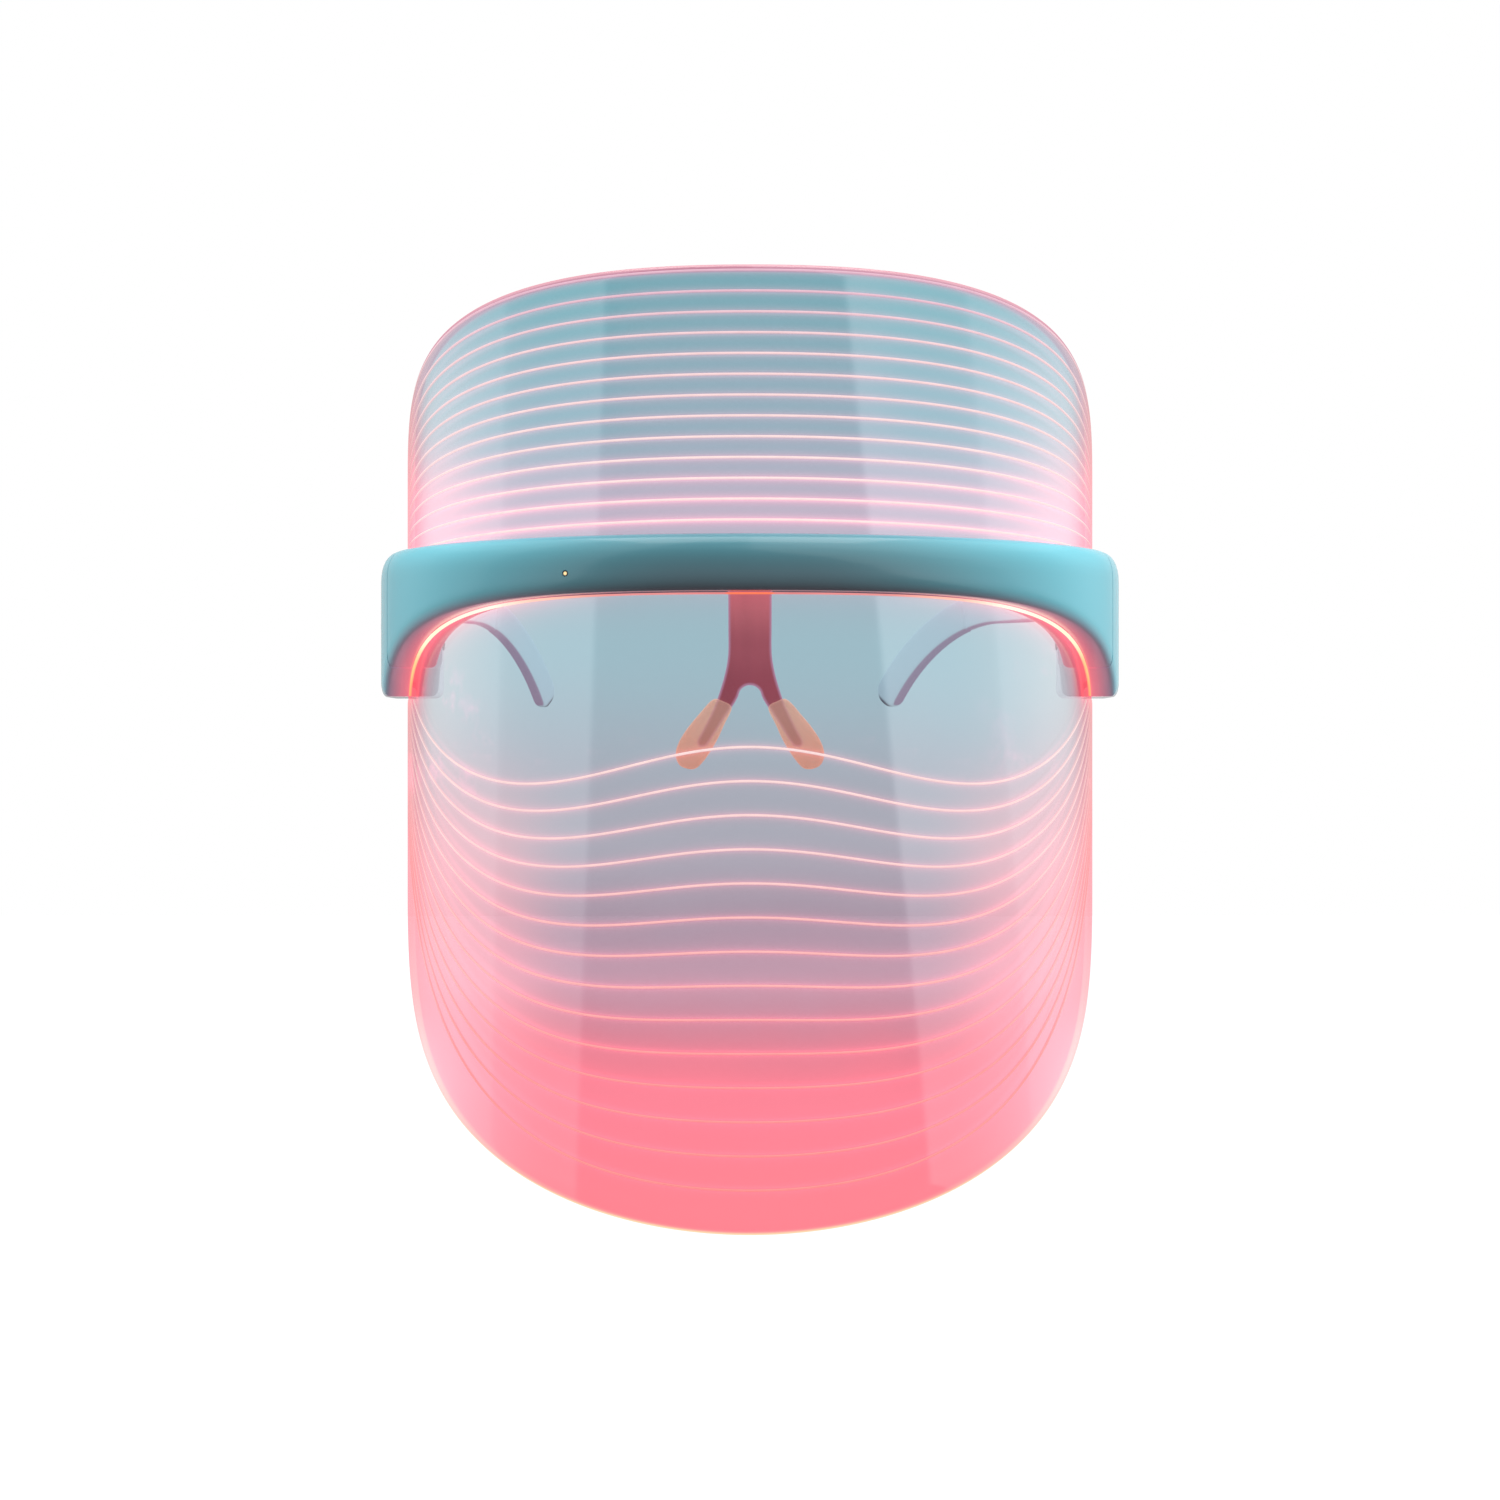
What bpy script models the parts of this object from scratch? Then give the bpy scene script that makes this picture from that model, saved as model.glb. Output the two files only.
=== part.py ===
"""An edge-lit LED face mask: two clear shields held in a brow band that hangs on the head like glasses.

The band, the shields and the two end housings follow one curve round the face. Each of them is modelled
flat, in a frame where x is the distance s along that curve from the middle of the face, y is the height
and z is the distance n outwards, and is then wrapped onto the curve. Lengths are in millimetres until a
piece is wrapped or placed, which turns them into metres.

World frame: +Z up, the mask faces -Y, and the origin is the middle of the nose rest. Left and right are
the wearer's, so left is +X.
"""

import math

import bmesh
import bpy
import numpy as np
from mathutils import Matrix, Vector

MM = 0.001

# The curve round the face: half an ellipse, then a straight run back towards each ear.
HALF_WIDTH = 88.0
CURVE_DEPTH = 70.0
FRONT_Y = -26.0
SLICE = 6.0
CURVE_SAMPLES = 4000

# Shields
SHIELD_THICK = 2.0
SHIELD_HALF_SPAN = 120.0
SHIELD_TOP = 113.7
SHIELD_BOTTOM = -113.6
FOREHEAD_POWERS = (2.9, 2.5)
CHIN_CENTRE = -20.0
TUCK = 4.0
HIDDEN_HALF_SPAN = 112.0

# Brow band and end housings
GAP = 0.3
WALL = 1.8
BAND_TOP = 50.5
BAND_BOTTOM = 37.1
BAND_OUT = 7.8
BAND_IN = 5.2
BAND_ROUND = 4.6
END_BOTTOM = 13.7
END_CORNER = 109.0
END_START = 104.0
END_REAR = 140.0
END_ROUND = 3.2
HOUSING_IN = 6.5
SEAM = 0.15

# Lights
LED_COUNT = 14
LED_LONG = 3.0
LED_TALL = 1.0
STRIP_HALF_WIDE = 1.0
LED_HALF_WIDE = 0.6
STRIP_THICK = 1.0
UPPER_STRIP_Z = 43.9
UPPER_STRIP_REACH = 102.0
LOWER_STRIP_REACH = 99.0

# Temple arms, in the hinge's own frame: r runs back from the axis, z up
HINGE_S = 143.0
HINGE_N = -3.5
HINGE_Z = 40.0
KNUCKLE_HEIGHTS = ((-6.5, -3.4), (3.4, 6.5))
KNUCKLE_RADIUS = 2.3
PIN_RADIUS = 0.8
ARM_HALF_THICK = 1.3
ARM_HALF_TALL = 4.6
TANG_HALF_THICK = 0.7
TANG_HALF_TALL = 3.1
TIP_HALF_THICK = 2.1
TIP_HALF_TALL = 4.8
ARM_START = 3.2
ARM_STRAIGHT = 32.0
ARM_BEND_RADIUS = 58.0
ARM_BEND_DEG = 57.0
ARM_LENGTH = ARM_STRAIGHT + ARM_BEND_RADIUS * math.radians(ARM_BEND_DEG)
ARM_SLICE = 4.0
ARM_BOW = 10.0
ARM_BOW_REACH = 80.0
TIP_START = 45.0
TIP_WALL = 2.0
REST_FOLD_DEG = {"left": 26.0, "right": 10.0}

# Nose rest
NOSE_TAB_TOP = 42.0
NOSE_STEM_HALF = 5.1
NOSE_THICK = 1.8
NOSE_SET_BACK = 22.5
NOSE_GAP = 2.5
LEG_TOP = (5.2, 15.5)
LEG_FOOT = (12.6, 1.6)
LEG_TOP_RADIUS = 1.7
LEG_FOOT_RADIUS = 1.2
PAD_TOP = (7.4, 9.4)
PAD_FOOT = (14.4, -1.0)
PAD_TOP_RADIUS = 3.3
PAD_FOOT_RADIUS = 3.9
PAD_HALF_THICK = 2.4
PAD_ROUND = 1.3
CROTCH_Z = 12.7
CROTCH_RADIUS = 2.5

# Controls, all on the right side
BUTTON_S = -127.0
BUTTON_Z = 32.0
BUTTON_RADIUS = 4.2
BUTTON_PROUD = 0.5
BUTTON_FOOT = 3.9
FLANGE_WIDE = 1.1
FLANGE_THICK = 0.5
DOME_BASE = 1.2
DOME_TOP = 2.9
USB_Z = 22.1
USB_N = 2.2
USB_MOUTH = (3.9, 1.0)
LIGHT_S = -41.4
LIGHT_Z = 41.4
LIGHT_RADIUS = 0.5
LIGHT_LONG = 3.1

# Battery and board, which face each other from the two end housings: s from the middle, z, n
CELL_S = (114.6, 132.8)
BATTERY_Z = (18.6, 45.4)
BATTERY_N = (-1.8, 3.6)
BOARD_Z = (18.0, 47.6)
BOARD_N = (-1.8, -0.6)
LEAD_Z = 47.3
LEAD_N = 2.9
LEAD_RADIUS = 0.6

SCREW_PLACES = ((108.4, 43.5), (109.6, 26.0), (135.6, 28.6))
SCREW_RADIUS = 0.95
SCREW_HEAD_RADIUS = 2.0
SCREW_END = 3.5
BOSS_RADIUS = 2.2
SIDES = {"left": 1, "right": -1}


# ---------------------------------------------------------------- the curve round the face


def sampled_curve():
    """Arc length, half breadth and set-back along one side of the front ellipse."""
    angle = np.linspace(0.0, math.pi / 2, CURVE_SAMPLES)
    across = HALF_WIDTH * np.sin(angle)
    back = CURVE_DEPTH * (1.0 - np.cos(angle))
    steps = np.hypot(np.diff(across), np.diff(back))
    slope = np.arctan2(CURVE_DEPTH * np.sin(angle), HALF_WIDTH * np.cos(angle))
    return np.concatenate([[0.0], np.cumsum(steps)]), across, back, slope


ARC, ACROSS, BACK, SLOPE = sampled_curve()
QUARTER = ARC[-1]


def on_curve(s, n, z):
    """The world point, in metres, at distance s along the curve, n outwards and height z."""
    run = abs(s)
    side = 1.0 if s >= 0 else -1.0
    slope = float(np.interp(run, ARC, SLOPE))
    x = float(np.interp(run, ARC, ACROSS)) + n * math.sin(slope)
    y = FRONT_Y + float(np.interp(run, ARC, BACK)) + max(run - QUARTER, 0.0) - n * math.cos(slope)
    return Vector((side * x, y, z)) * MM


def band_bottom(s):
    """The brow band's lower edge, which turns down into the end housings."""
    u = min(abs(s) / END_CORNER, 1.0)
    return END_BOTTOM + (BAND_BOTTOM - END_BOTTOM) * (1.0 - u**4) ** (2.0 / 3.0)


def superellipse(half_span, half_height, powers, centre, count, upper):
    """Points of the upper or lower half of a superellipse, from +s round to -s."""
    sign = 1.0 if upper else -1.0
    points = []
    for angle in np.linspace(0.0, math.pi, count):
        across, up = math.cos(angle), math.sin(angle)
        s = math.copysign(abs(across) ** (2.0 / powers[0]), across) * half_span
        points.append((s, centre + sign * half_height * max(up, 0.0) ** (2.0 / powers[1])))
    return points


def steps_between(start, end, spacing=SLICE):
    count = max(int(math.ceil(abs(end - start) / spacing)), 1)
    return [start + (end - start) * i / count for i in range(count + 1)]


def slices_between(start, end):
    """The two ends and every multiple of the slice between them."""
    first, last = int(math.ceil(start / SLICE + 0.1)), int(math.floor(end / SLICE - 0.1))
    return [start] + [i * SLICE for i in range(first, last + 1)] + [end]


# ---------------------------------------------------------------- meshes


def fresh_scene():
    for obj in list(bpy.data.objects):
        bpy.data.objects.remove(obj, do_unlink=True)
    collection = bpy.data.collections.new("led_face_mask")
    bpy.context.scene.collection.children.link(collection)
    return collection


def material(name, colour, roughness, metallic=0.0, alpha=1.0):
    made = bpy.data.materials.new(name)
    made.use_nodes = True
    shader = made.node_tree.nodes["Principled BSDF"]
    shader.inputs["Base Color"].default_value = (*colour, 1.0)
    shader.inputs["Roughness"].default_value = roughness
    shader.inputs["Metallic"].default_value = metallic
    shader.inputs["Alpha"].default_value = alpha
    return made


def add_object(name, mesh):
    obj = bpy.data.objects.new(name, mesh)
    PARTS.objects.link(obj)
    return obj


def from_bmesh(name, bm):
    bmesh.ops.recalc_face_normals(bm, faces=bm.faces)
    mesh = bpy.data.meshes.new(name)
    bm.to_mesh(mesh)
    bm.free()
    return add_object(name, mesh)


def merge_flat_faces(bm):
    bmesh.ops.dissolve_limit(bm, angle_limit=math.radians(0.2), verts=bm.verts, edges=bm.edges)


def baked(obj):
    """A mesh of the object with its modifiers applied, in the object's parent space."""
    bpy.context.view_layer.update()
    graph = bpy.context.evaluated_depsgraph_get()
    mesh = bpy.data.meshes.new_from_object(obj.evaluated_get(graph))
    mesh.transform(obj.matrix_world)
    return mesh


def bake(obj):
    """Replaces the object's mesh by its modified one, in place."""
    mesh = baked(obj)
    obj.modifiers.clear()
    obj.matrix_world = Matrix.Identity(4)
    obj.data = mesh
    return obj


def combine(target, other, operation):
    boolean = target.modifiers.new(operation.lower(), "BOOLEAN")
    boolean.operation = operation
    boolean.solver = "EXACT"
    boolean.object = other
    bake(target)
    bpy.data.objects.remove(other, do_unlink=True)
    return target


def cut(target, *cutters):
    for cutter in cutters:
        combine(target, cutter, "DIFFERENCE")
    return target


def join(target, *others):
    for other in others:
        combine(target, other, "UNION")
    return target


def box(name, low, high):
    bm = bmesh.new()
    bmesh.ops.create_cube(bm, size=1.0)
    size = Vector(high) - Vector(low)
    middle = (Vector(high) + Vector(low)) / 2
    bmesh.ops.transform(bm, matrix=Matrix.Translation(middle) @ Matrix.Diagonal((*size, 1.0)), verts=bm.verts)
    return from_bmesh(name, bm)


def cylinder(name, centre, radius, start, end, axis="Z", segments=20):
    """A cylinder from start to end along one axis of the frame it is made in."""
    bm = bmesh.new()
    bmesh.ops.create_cone(
        bm, cap_ends=True, segments=segments, radius1=radius, radius2=radius, depth=end - start
    )
    turn = Matrix.Rotation(-math.pi / 2, 4, "X") if axis == "Y" else Matrix.Identity(4)
    along = Vector((0, 0, 1)) if axis == "Z" else Vector((0, 1, 0))
    place = Matrix.Translation(Vector(centre) + along * (start + end) / 2) @ turn
    bmesh.ops.transform(bm, matrix=place, verts=bm.verts)
    return from_bmesh(name, bm)


def plate(name, outline, low, high):
    """A flat outline in the frame's xy plane, filled from z = low to z = high."""
    curve = bpy.data.curves.new(name, "CURVE")
    curve.dimensions = "2D"
    curve.fill_mode = "BOTH"
    curve.extrude = (high - low) / 2
    spline = curve.splines.new("POLY")
    spline.points.add(len(outline) - 1)
    for point, (x, y) in zip(spline.points, outline):
        point.co = (x, y, 0.0, 1.0)
    spline.use_cyclic_u = True
    shape = add_object(name + "_outline", curve)
    shape.location.z = (high + low) / 2
    mesh = baked(shape)
    bpy.data.objects.remove(shape, do_unlink=True)
    bm = bmesh.new()
    bm.from_mesh(mesh)
    bmesh.ops.remove_doubles(bm, verts=bm.verts, dist=1e-4)
    merge_flat_faces(bm)
    return from_bmesh(name, bm)


def loft(name, sections):
    """A solid through sections that hold the same number of points, closed at both ends."""
    bm = bmesh.new()
    rings = [[bm.verts.new(point) for point in section] for section in sections]
    count = len(rings[0])
    for ring, after in zip(rings, rings[1:]):
        for i in range(count):
            j = (i + 1) % count
            bm.faces.new((ring[i], ring[j], after[j], after[i]))
    bm.faces.new(rings[0][::-1])
    bm.faces.new(rings[-1])
    return from_bmesh(name, bm)


def rounded_section(low, high, radii):
    """A rectangle in (height, n) with a corner radius at its low n side and one at its high n side."""
    (z0, n0), (z1, n1) = low, high
    inner, outer = (min(radius, (z1 - z0) / 2 - 0.01, n1 - n0 - 0.01) for radius in radii)
    corners = (
        (z0 + inner, n0 + inner, inner, 180.0, radii[0]),
        (z1 - inner, n0 + inner, inner, 270.0, radii[0]),
        (z1 - outer, n1 - outer, outer, 0.0, radii[1]),
        (z0 + outer, n1 - outer, outer, 90.0, radii[1]),
    )
    points = []
    for z, n, radius, start, nominal in corners:
        arc_points = max(1, round(nominal / 1.2))
        for i in range(arc_points + 1):
            angle = math.radians(start + 90.0 * i / arc_points)
            points.append((z + radius * math.cos(angle), n + radius * math.sin(angle)))
    return points


def wrap(obj):
    """Bends a flat piece onto the curve round the face, with an edge at every slice."""
    mesh = baked(obj)
    bm = bmesh.new()
    bm.from_mesh(mesh)
    merge_flat_faces(bm)
    slices = int(QUARTER // SLICE)
    for i in range(-slices, slices + 1):
        geometry = bm.verts[:] + bm.edges[:] + bm.faces[:]
        bmesh.ops.bisect_plane(bm, geom=geometry, dist=1e-4, plane_co=(i * SLICE, 0, 0), plane_no=(1, 0, 0))
    bmesh.ops.triangulate(bm, faces=bm.faces)
    for vertex in bm.verts:
        s, z, n = vertex.co
        vertex.co = on_curve(s, n, z)
    bmesh.ops.dissolve_degenerate(bm, dist=1e-7, edges=bm.edges)
    bm.to_mesh(mesh)
    bm.free()
    obj.modifiers.clear()
    obj.data = mesh
    return obj


def finish(obj, surface, smooth_deg=40.0):
    obj.data.materials.clear()
    obj.data.materials.append(surface)
    obj.data.shade_smooth()
    obj.data.set_sharp_from_angle(angle=math.radians(smooth_deg))
    return obj


# ---------------------------------------------------------------- shields


def forehead_outline():
    rim = superellipse(
        SHIELD_HALF_SPAN, SHIELD_TOP - BAND_TOP - 0.5, FOREHEAD_POWERS, BAND_TOP + 0.5, 61, upper=True
    )
    foot = BAND_TOP - TUCK
    inner = HIDDEN_HALF_SPAN
    return rim + [(-inner, BAND_TOP + 0.5), (-inner, foot), (inner, foot), (inner, BAND_TOP + 0.5)]


def face_outline():
    """The chin's half ellipse, straight sides, and a top edge tucked into the band."""
    chin = superellipse(SHIELD_HALF_SPAN, CHIN_CENTRE - SHIELD_BOTTOM, (2, 2), CHIN_CENTRE, 61, upper=False)
    shoulder = END_BOTTOM - 0.5
    sides = [(-SHIELD_HALF_SPAN, shoulder), (-HIDDEN_HALF_SPAN, shoulder)]
    tucked = [(s, band_bottom(s) + TUCK) for s in steps_between(-END_CORNER, END_CORNER, 3.0)]
    close = [(HIDDEN_HALF_SPAN, shoulder), (SHIELD_HALF_SPAN, shoulder)]
    return chin + sides + [(-HIDDEN_HALF_SPAN, END_BOTTOM + TUCK)] + tucked[1:-1] + [
        (HIDDEN_HALF_SPAN, END_BOTTOM + TUCK)
    ] + close


def make_shields():
    clear = material("tinted_acrylic", (0.32, 0.55, 0.62), 0.05, alpha=0.45)
    half = SHIELD_THICK / 2
    for name, outline in (("forehead_shield", forehead_outline()), ("face_shield", face_outline())):
        finish(wrap(plate(name, outline, -half, half)), clear)


# ---------------------------------------------------------------- brow band and end housings


def bar(name, reach, n_range, radii, inset=0.0, rear_round=0.0):
    """A bar that follows the band's top and bottom edges between two stations."""
    start, end = reach
    stations = slices_between(start, end)
    if rear_round:
        tail = [end - rear_round * (1 - math.sin(math.radians(a))) for a in (0, 30, 60, 80, 90)]
        stations = [s for s in stations if s < tail[0] - 1.0] + tail
    sections = []
    for s in stations:
        into = max(s - (end - rear_round), 0.0) if rear_round else 0.0
        shrink = inset + rear_round - math.sqrt(max(rear_round**2 - into**2, 0.0))
        sections.append(
            [
                (s, z, n)
                for z, n in rounded_section(
                    (band_bottom(s) + shrink, n_range[0]), (BAND_TOP - shrink, n_range[1]), radii
                )
            ]
        )
    return loft(name, sections)


def make_brow_covers(shell):
    reach = (-END_START, END_START)
    past = (-END_START - 1, END_START + 1)
    front = bar("brow_front_cover", reach, (1.3, BAND_OUT), (0.3, BAND_ROUND))
    hollow = bar("front_hollow", past, (0.3, BAND_OUT - WALL), (0.2, BAND_ROUND - WALL), inset=WALL)
    place = (LIGHT_S, LIGHT_Z, 0)
    lens_hole = cylinder("lens_hole", place, LIGHT_RADIUS + 0.25, 3.0, BAND_OUT + 1.0, segments=16)
    finish(wrap(cut(front, hollow, lens_hole)), shell)

    rear = bar("brow_rear_cover", reach, (-BAND_IN, -1.3), (2.0, 0.3))
    hollow = bar("rear_hollow", past, (-BAND_IN + 1.6, -0.3), (0.6, 0.2), inset=1.6)
    pocket = box("nose_pocket", (-NOSE_STEM_HALF - 0.4, 36.0, -3.8), (NOSE_STEM_HALF + 0.4, 39.6, -1.0))
    finish(wrap(cut(rear, hollow, pocket)), shell)


def sided(side, low, high):
    """A range along s, mirrored for the right side, always low first."""
    return (low, high) if side > 0 else (-high, -low)


def housing_bar(name, side, reach, n_range, radii, inset=0.0, rear_round=0.0):
    """An end housing's bar, made on the left and mirrored for the right."""
    piece = bar(name, reach, n_range, radii, inset, rear_round)
    if side < 0:
        piece.data.transform(Matrix.Diagonal((-1, 1, 1, 1)))
        piece.data.flip_normals()
    return piece


def side_box(name, side, s_range, z_range, n_range):
    s0, s1 = sided(side, *s_range)
    return box(name, (s0, z_range[0], n_range[0]), (s1, z_range[1], n_range[1]))


def make_end_cap(label, side, shell):
    """The outer half of an end housing, with the screw bosses."""
    reach = (END_START + GAP, END_REAR)
    cap = housing_bar(
        f"end_cap_{label}", side, reach, (SEAM, BAND_OUT), (0.1, END_ROUND), rear_round=END_ROUND
    )
    inside = (END_START - 2, END_REAR - WALL)
    hollow = housing_bar("cap_hollow", side, inside, (-1.0, BAND_OUT - WALL), (0.1, 1.4), inset=WALL)
    slot = side_box("cap_slot", side, (100, HIDDEN_HALF_SPAN + 0.4), (0, 60), (-1.0, 1.3))
    cut(cap, hollow, slot)
    for s, z in SCREW_PLACES:
        join(cap, cylinder("boss", (side * s, z, 0), BOSS_RADIUS, 1.3, BAND_OUT - WALL + 0.5))
        hole = cylinder("hole", (side * s, z, 0), SCREW_RADIUS + GAP, 0.5, SCREW_END + 0.5, segments=12)
        cut(cap, hole)
    if label == "right":
        place = (BUTTON_S, BUTTON_Z, 0)
        cut(
            cap,
            cylinder("button_hole", place, BUTTON_RADIUS + GAP, 4.0, BAND_OUT + 2.0, segments=32),
            side_box("usb_hole", side, (137, 141), (USB_Z - 4.6, USB_Z + 4.6), (USB_N - 1.7, USB_N + 1.7)),
        )
    finish(wrap(cap), shell)


def make_inner_housing(label, side, shell):
    """The inner half of an end housing, which carries the hinge."""
    reach = (END_START + GAP, END_REAR)
    housing = housing_bar(
        f"inner_housing_{label}", side, reach, (-HOUSING_IN, -SEAM), (2.4, 0.1), rear_round=END_ROUND
    )
    inside = (END_START - 2, END_REAR - WALL)
    hollow = housing_bar("inner_hollow", side, inside, (-HOUSING_IN + WALL, 1.0), (0.8, 0.1), inset=WALL)
    slot = side_box("inner_slot", side, (100, HIDDEN_HALF_SPAN + 0.4), (0, 60), (-1.3, 1.0))
    cut(housing, hollow, slot)
    for z0, z1 in KNUCKLE_HEIGHTS:
        ears = (HINGE_Z + z0 - GAP, HINGE_Z + z1 + GAP)
        cut(housing, side_box("ear_slot", side, (137, 142), ears, (HINGE_N - 1.3, HINGE_N + 1.3)))
    for s, z in SCREW_PLACES:
        bore = cylinder("bore", (side * s, z, 0), SCREW_RADIUS + GAP, -HOUSING_IN - 2.5, 0.0, segments=12)
        seat = cylinder(
            "seat", (side * s, z, 0), SCREW_HEAD_RADIUS + GAP, -HOUSING_IN - 2.5, -HOUSING_IN + 0.9
        )
        cut(housing, bore, seat)
    finish(wrap(housing), shell)


def make_screws(steel):
    """Socket-head screws, from the inner housing into the end cap's bosses."""
    number = 0
    for side in SIDES.values():
        for s, z in SCREW_PLACES:
            number += 1
            face = -HOUSING_IN
            name = f"housing_screw_{number}"
            screw = cylinder(name, (side * s, z, 0), SCREW_HEAD_RADIUS, face - 0.2, face + 0.6)
            shank = cylinder("shank", (side * s, z, 0), SCREW_RADIUS, face + 0.4, SCREW_END, segments=12)
            socket = cylinder("socket", (side * s, z, 0), 0.9, face - 1.0, face + 0.3, segments=6)
            finish(wrap(cut(join(screw, shank), socket)), steel)


# ---------------------------------------------------------------- lights and electronics


def strip_section(s, base, away, lit):
    """A ribbon with a light on it: away is +1 where the light points up and -1 where it points down."""
    bump = LED_TALL if lit else 0.05
    foot, face, top = base, base + away * STRIP_THICK, base + away * (STRIP_THICK + bump)
    wide, narrow = STRIP_HALF_WIDE, LED_HALF_WIDE
    outline = ((foot, -wide), (face, -wide), (face, -narrow), (top, -narrow))
    outline += tuple((z, -n) for z, n in reversed(outline))
    return [(s, z, n) for z, n in outline]


def led_strip(name, reach, base_at, away, surface):
    """A flexible strip with evenly spaced lights."""
    pitch = 2 * reach / LED_COUNT
    sections = [strip_section(-reach, base_at(-reach), away, False)]
    for i in range(LED_COUNT):
        middle = -reach + pitch * (i + 0.5)
        for offset, lit in ((-0.05, False), (0.0, True), (LED_LONG, True), (LED_LONG + 0.05, False)):
            s = middle - LED_LONG / 2 + offset
            sections.append(strip_section(s, base_at(s), away, lit))
    sections.append(strip_section(reach, base_at(reach), away, False))
    finish(wrap(loft(name, sections)), surface)


def make_lights():
    flex = material("led_strip", (0.85, 0.83, 0.80), 0.5)
    led_strip("led_strip_upper", UPPER_STRIP_REACH, lambda s: UPPER_STRIP_Z, 1, flex)
    above = TUCK + 0.4 + LED_TALL + STRIP_THICK
    led_strip("led_strip_lower", LOWER_STRIP_REACH, lambda s: band_bottom(s) + above, -1, flex)
    glow = material("indicator_lens", (0.95, 0.45, 0.10), 0.2)
    place = (LIGHT_S, LIGHT_Z, 0)
    inside = BAND_OUT - WALL - 0.9
    lens = cylinder(
        "indicator_lens", place, LIGHT_RADIUS, BAND_OUT - LIGHT_LONG, BAND_OUT - 0.05, segments=16
    )
    flange = cylinder("lens_flange", place, LIGHT_RADIUS + 0.5, inside - 0.8, inside, segments=16)
    finish(wrap(join(lens, flange)), glow)


def make_battery():
    cell = material("battery_wrap", (0.05, 0.16, 0.35), 0.35)
    body = side_box("battery", 1, CELL_S, BATTERY_Z, BATTERY_N)
    rounding = body.modifiers.new("rounding", "BEVEL")
    rounding.width = 0.9
    rounding.segments = 2
    bake(body)
    finish(wrap(join(body, box("battery_tabs", (118.0, 45.0, 0.0), (129.0, 47.4, 1.4)))), cell)


def make_control_board():
    board = material("circuit_board", (0.02, 0.22, 0.12), 0.45)
    base = side_box("control_board", -1, CELL_S, BOARD_Z, BOARD_N)
    chips = (
        box("driver_chip", (-131.5, 40.0, -0.8), (-125.5, 46.0, 0.6)),
        box("charge_chip", (-121.0, 20.5, -0.8), (-116.5, 25.0, 0.4)),
        box("inductor", (-121.5, 38.0, -0.8), (-116.5, 43.0, 1.2)),
    )
    finish(wrap(join(base, *chips)), board)


def make_usb_socket():
    steel = material("socket_steel", (0.62, 0.62, 0.60), 0.3, 1.0)
    half_tall, half_wide = 4.2, 1.3
    shell = box(
        "usb_socket",
        (-139.4, USB_Z - half_tall, USB_N - half_wide),
        (-132.0, USB_Z + half_tall, USB_N + half_wide),
    )
    tall, wide = USB_MOUTH
    mouth = box("mouth", (-142, USB_Z - tall, USB_N - wide), (-133.5, USB_Z + tall, USB_N + wide))
    tongue = box("tongue", (-138.6, USB_Z - 3.2, USB_N - 0.3), (-133.0, USB_Z + 3.2, USB_N + 0.3))
    finish(wrap(join(cut(shell, mouth), tongue)), steel)


def make_button():
    rubber = material("button_rubber", (0.62, 0.78, 0.82), 0.5)
    place = (BUTTON_S, BUTTON_Z, 0)
    face = BAND_OUT + BUTTON_PROUD
    button = cylinder("power_button", place, BUTTON_RADIUS, BUTTON_FOOT, face, segments=32)
    rounding = button.modifiers.new("rounding", "BEVEL")
    rounding.width = 0.4
    rounding.segments = 2
    bake(button)
    under = BAND_OUT - WALL - GAP
    flange = cylinder(
        "button_flange", place, BUTTON_RADIUS + FLANGE_WIDE, under - FLANGE_THICK, under, segments=32
    )
    dish = cylinder("button_dish", place, BUTTON_RADIUS - 1.4, face - 0.2, face + 2.0, segments=32)
    wrap(cut(join(button, flange), dish))
    centre = on_curve(BUTTON_S, BAND_OUT, BUTTON_Z)
    button.data.transform(Matrix.Translation(-centre))
    button.location = centre
    finish(button, rubber)
    silicone = material("dome_silicone", (0.80, 0.80, 0.80), 0.6)
    dome = cylinder("button_dome", place, 3.0, BOARD_N[1] + GAP, DOME_BASE, segments=24)
    top = cylinder("dome_top", place, 2.0, DOME_BASE - 0.2, DOME_TOP, segments=24)
    finish(wrap(join(dome, top)), silicone)


def make_battery_lead():
    """The wire that runs in the brow band from the battery to the control board."""
    wire = material("lead_insulation", (0.75, 0.08, 0.06), 0.4)
    reach = CELL_S[0] - 0.4
    angles = [math.radians(60 * i) for i in range(6)]
    circle = [(LEAD_Z + LEAD_RADIUS * math.cos(a), LEAD_N + LEAD_RADIUS * math.sin(a)) for a in angles]
    sections = [[(s, z, n) for z, n in circle] for s in slices_between(-reach, reach)]
    finish(wrap(loft("battery_lead", sections)), wire)


# ---------------------------------------------------------------- hinges and temple arms


def make_hinge_block(label, side, steel):
    """A plate in the housing with two ears that hold the pin."""
    axis_at = (side * HINGE_S, HINGE_Z, HINGE_N)
    plate_n = (HINGE_N - 1.0, HINGE_N + 1.0)
    block = side_box(
        f"hinge_block_{label}", side, (131.0, 137.8), (HINGE_Z - 8.0, HINGE_Z + 8.0), plate_n
    )
    for low, high in KNUCKLE_HEIGHTS:
        join(
            block,
            side_box("ear_web", side, (137.0, HINGE_S), (HINGE_Z + low, HINGE_Z + high), plate_n),
            cylinder("ear", axis_at, KNUCKLE_RADIUS, low, high, axis="Y"),
        )
    bore = cylinder("bore", axis_at, PIN_RADIUS + GAP / 2, -9.0, 9.0, axis="Y", segments=16)
    finish(wrap(cut(block, bore)), steel)


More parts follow.
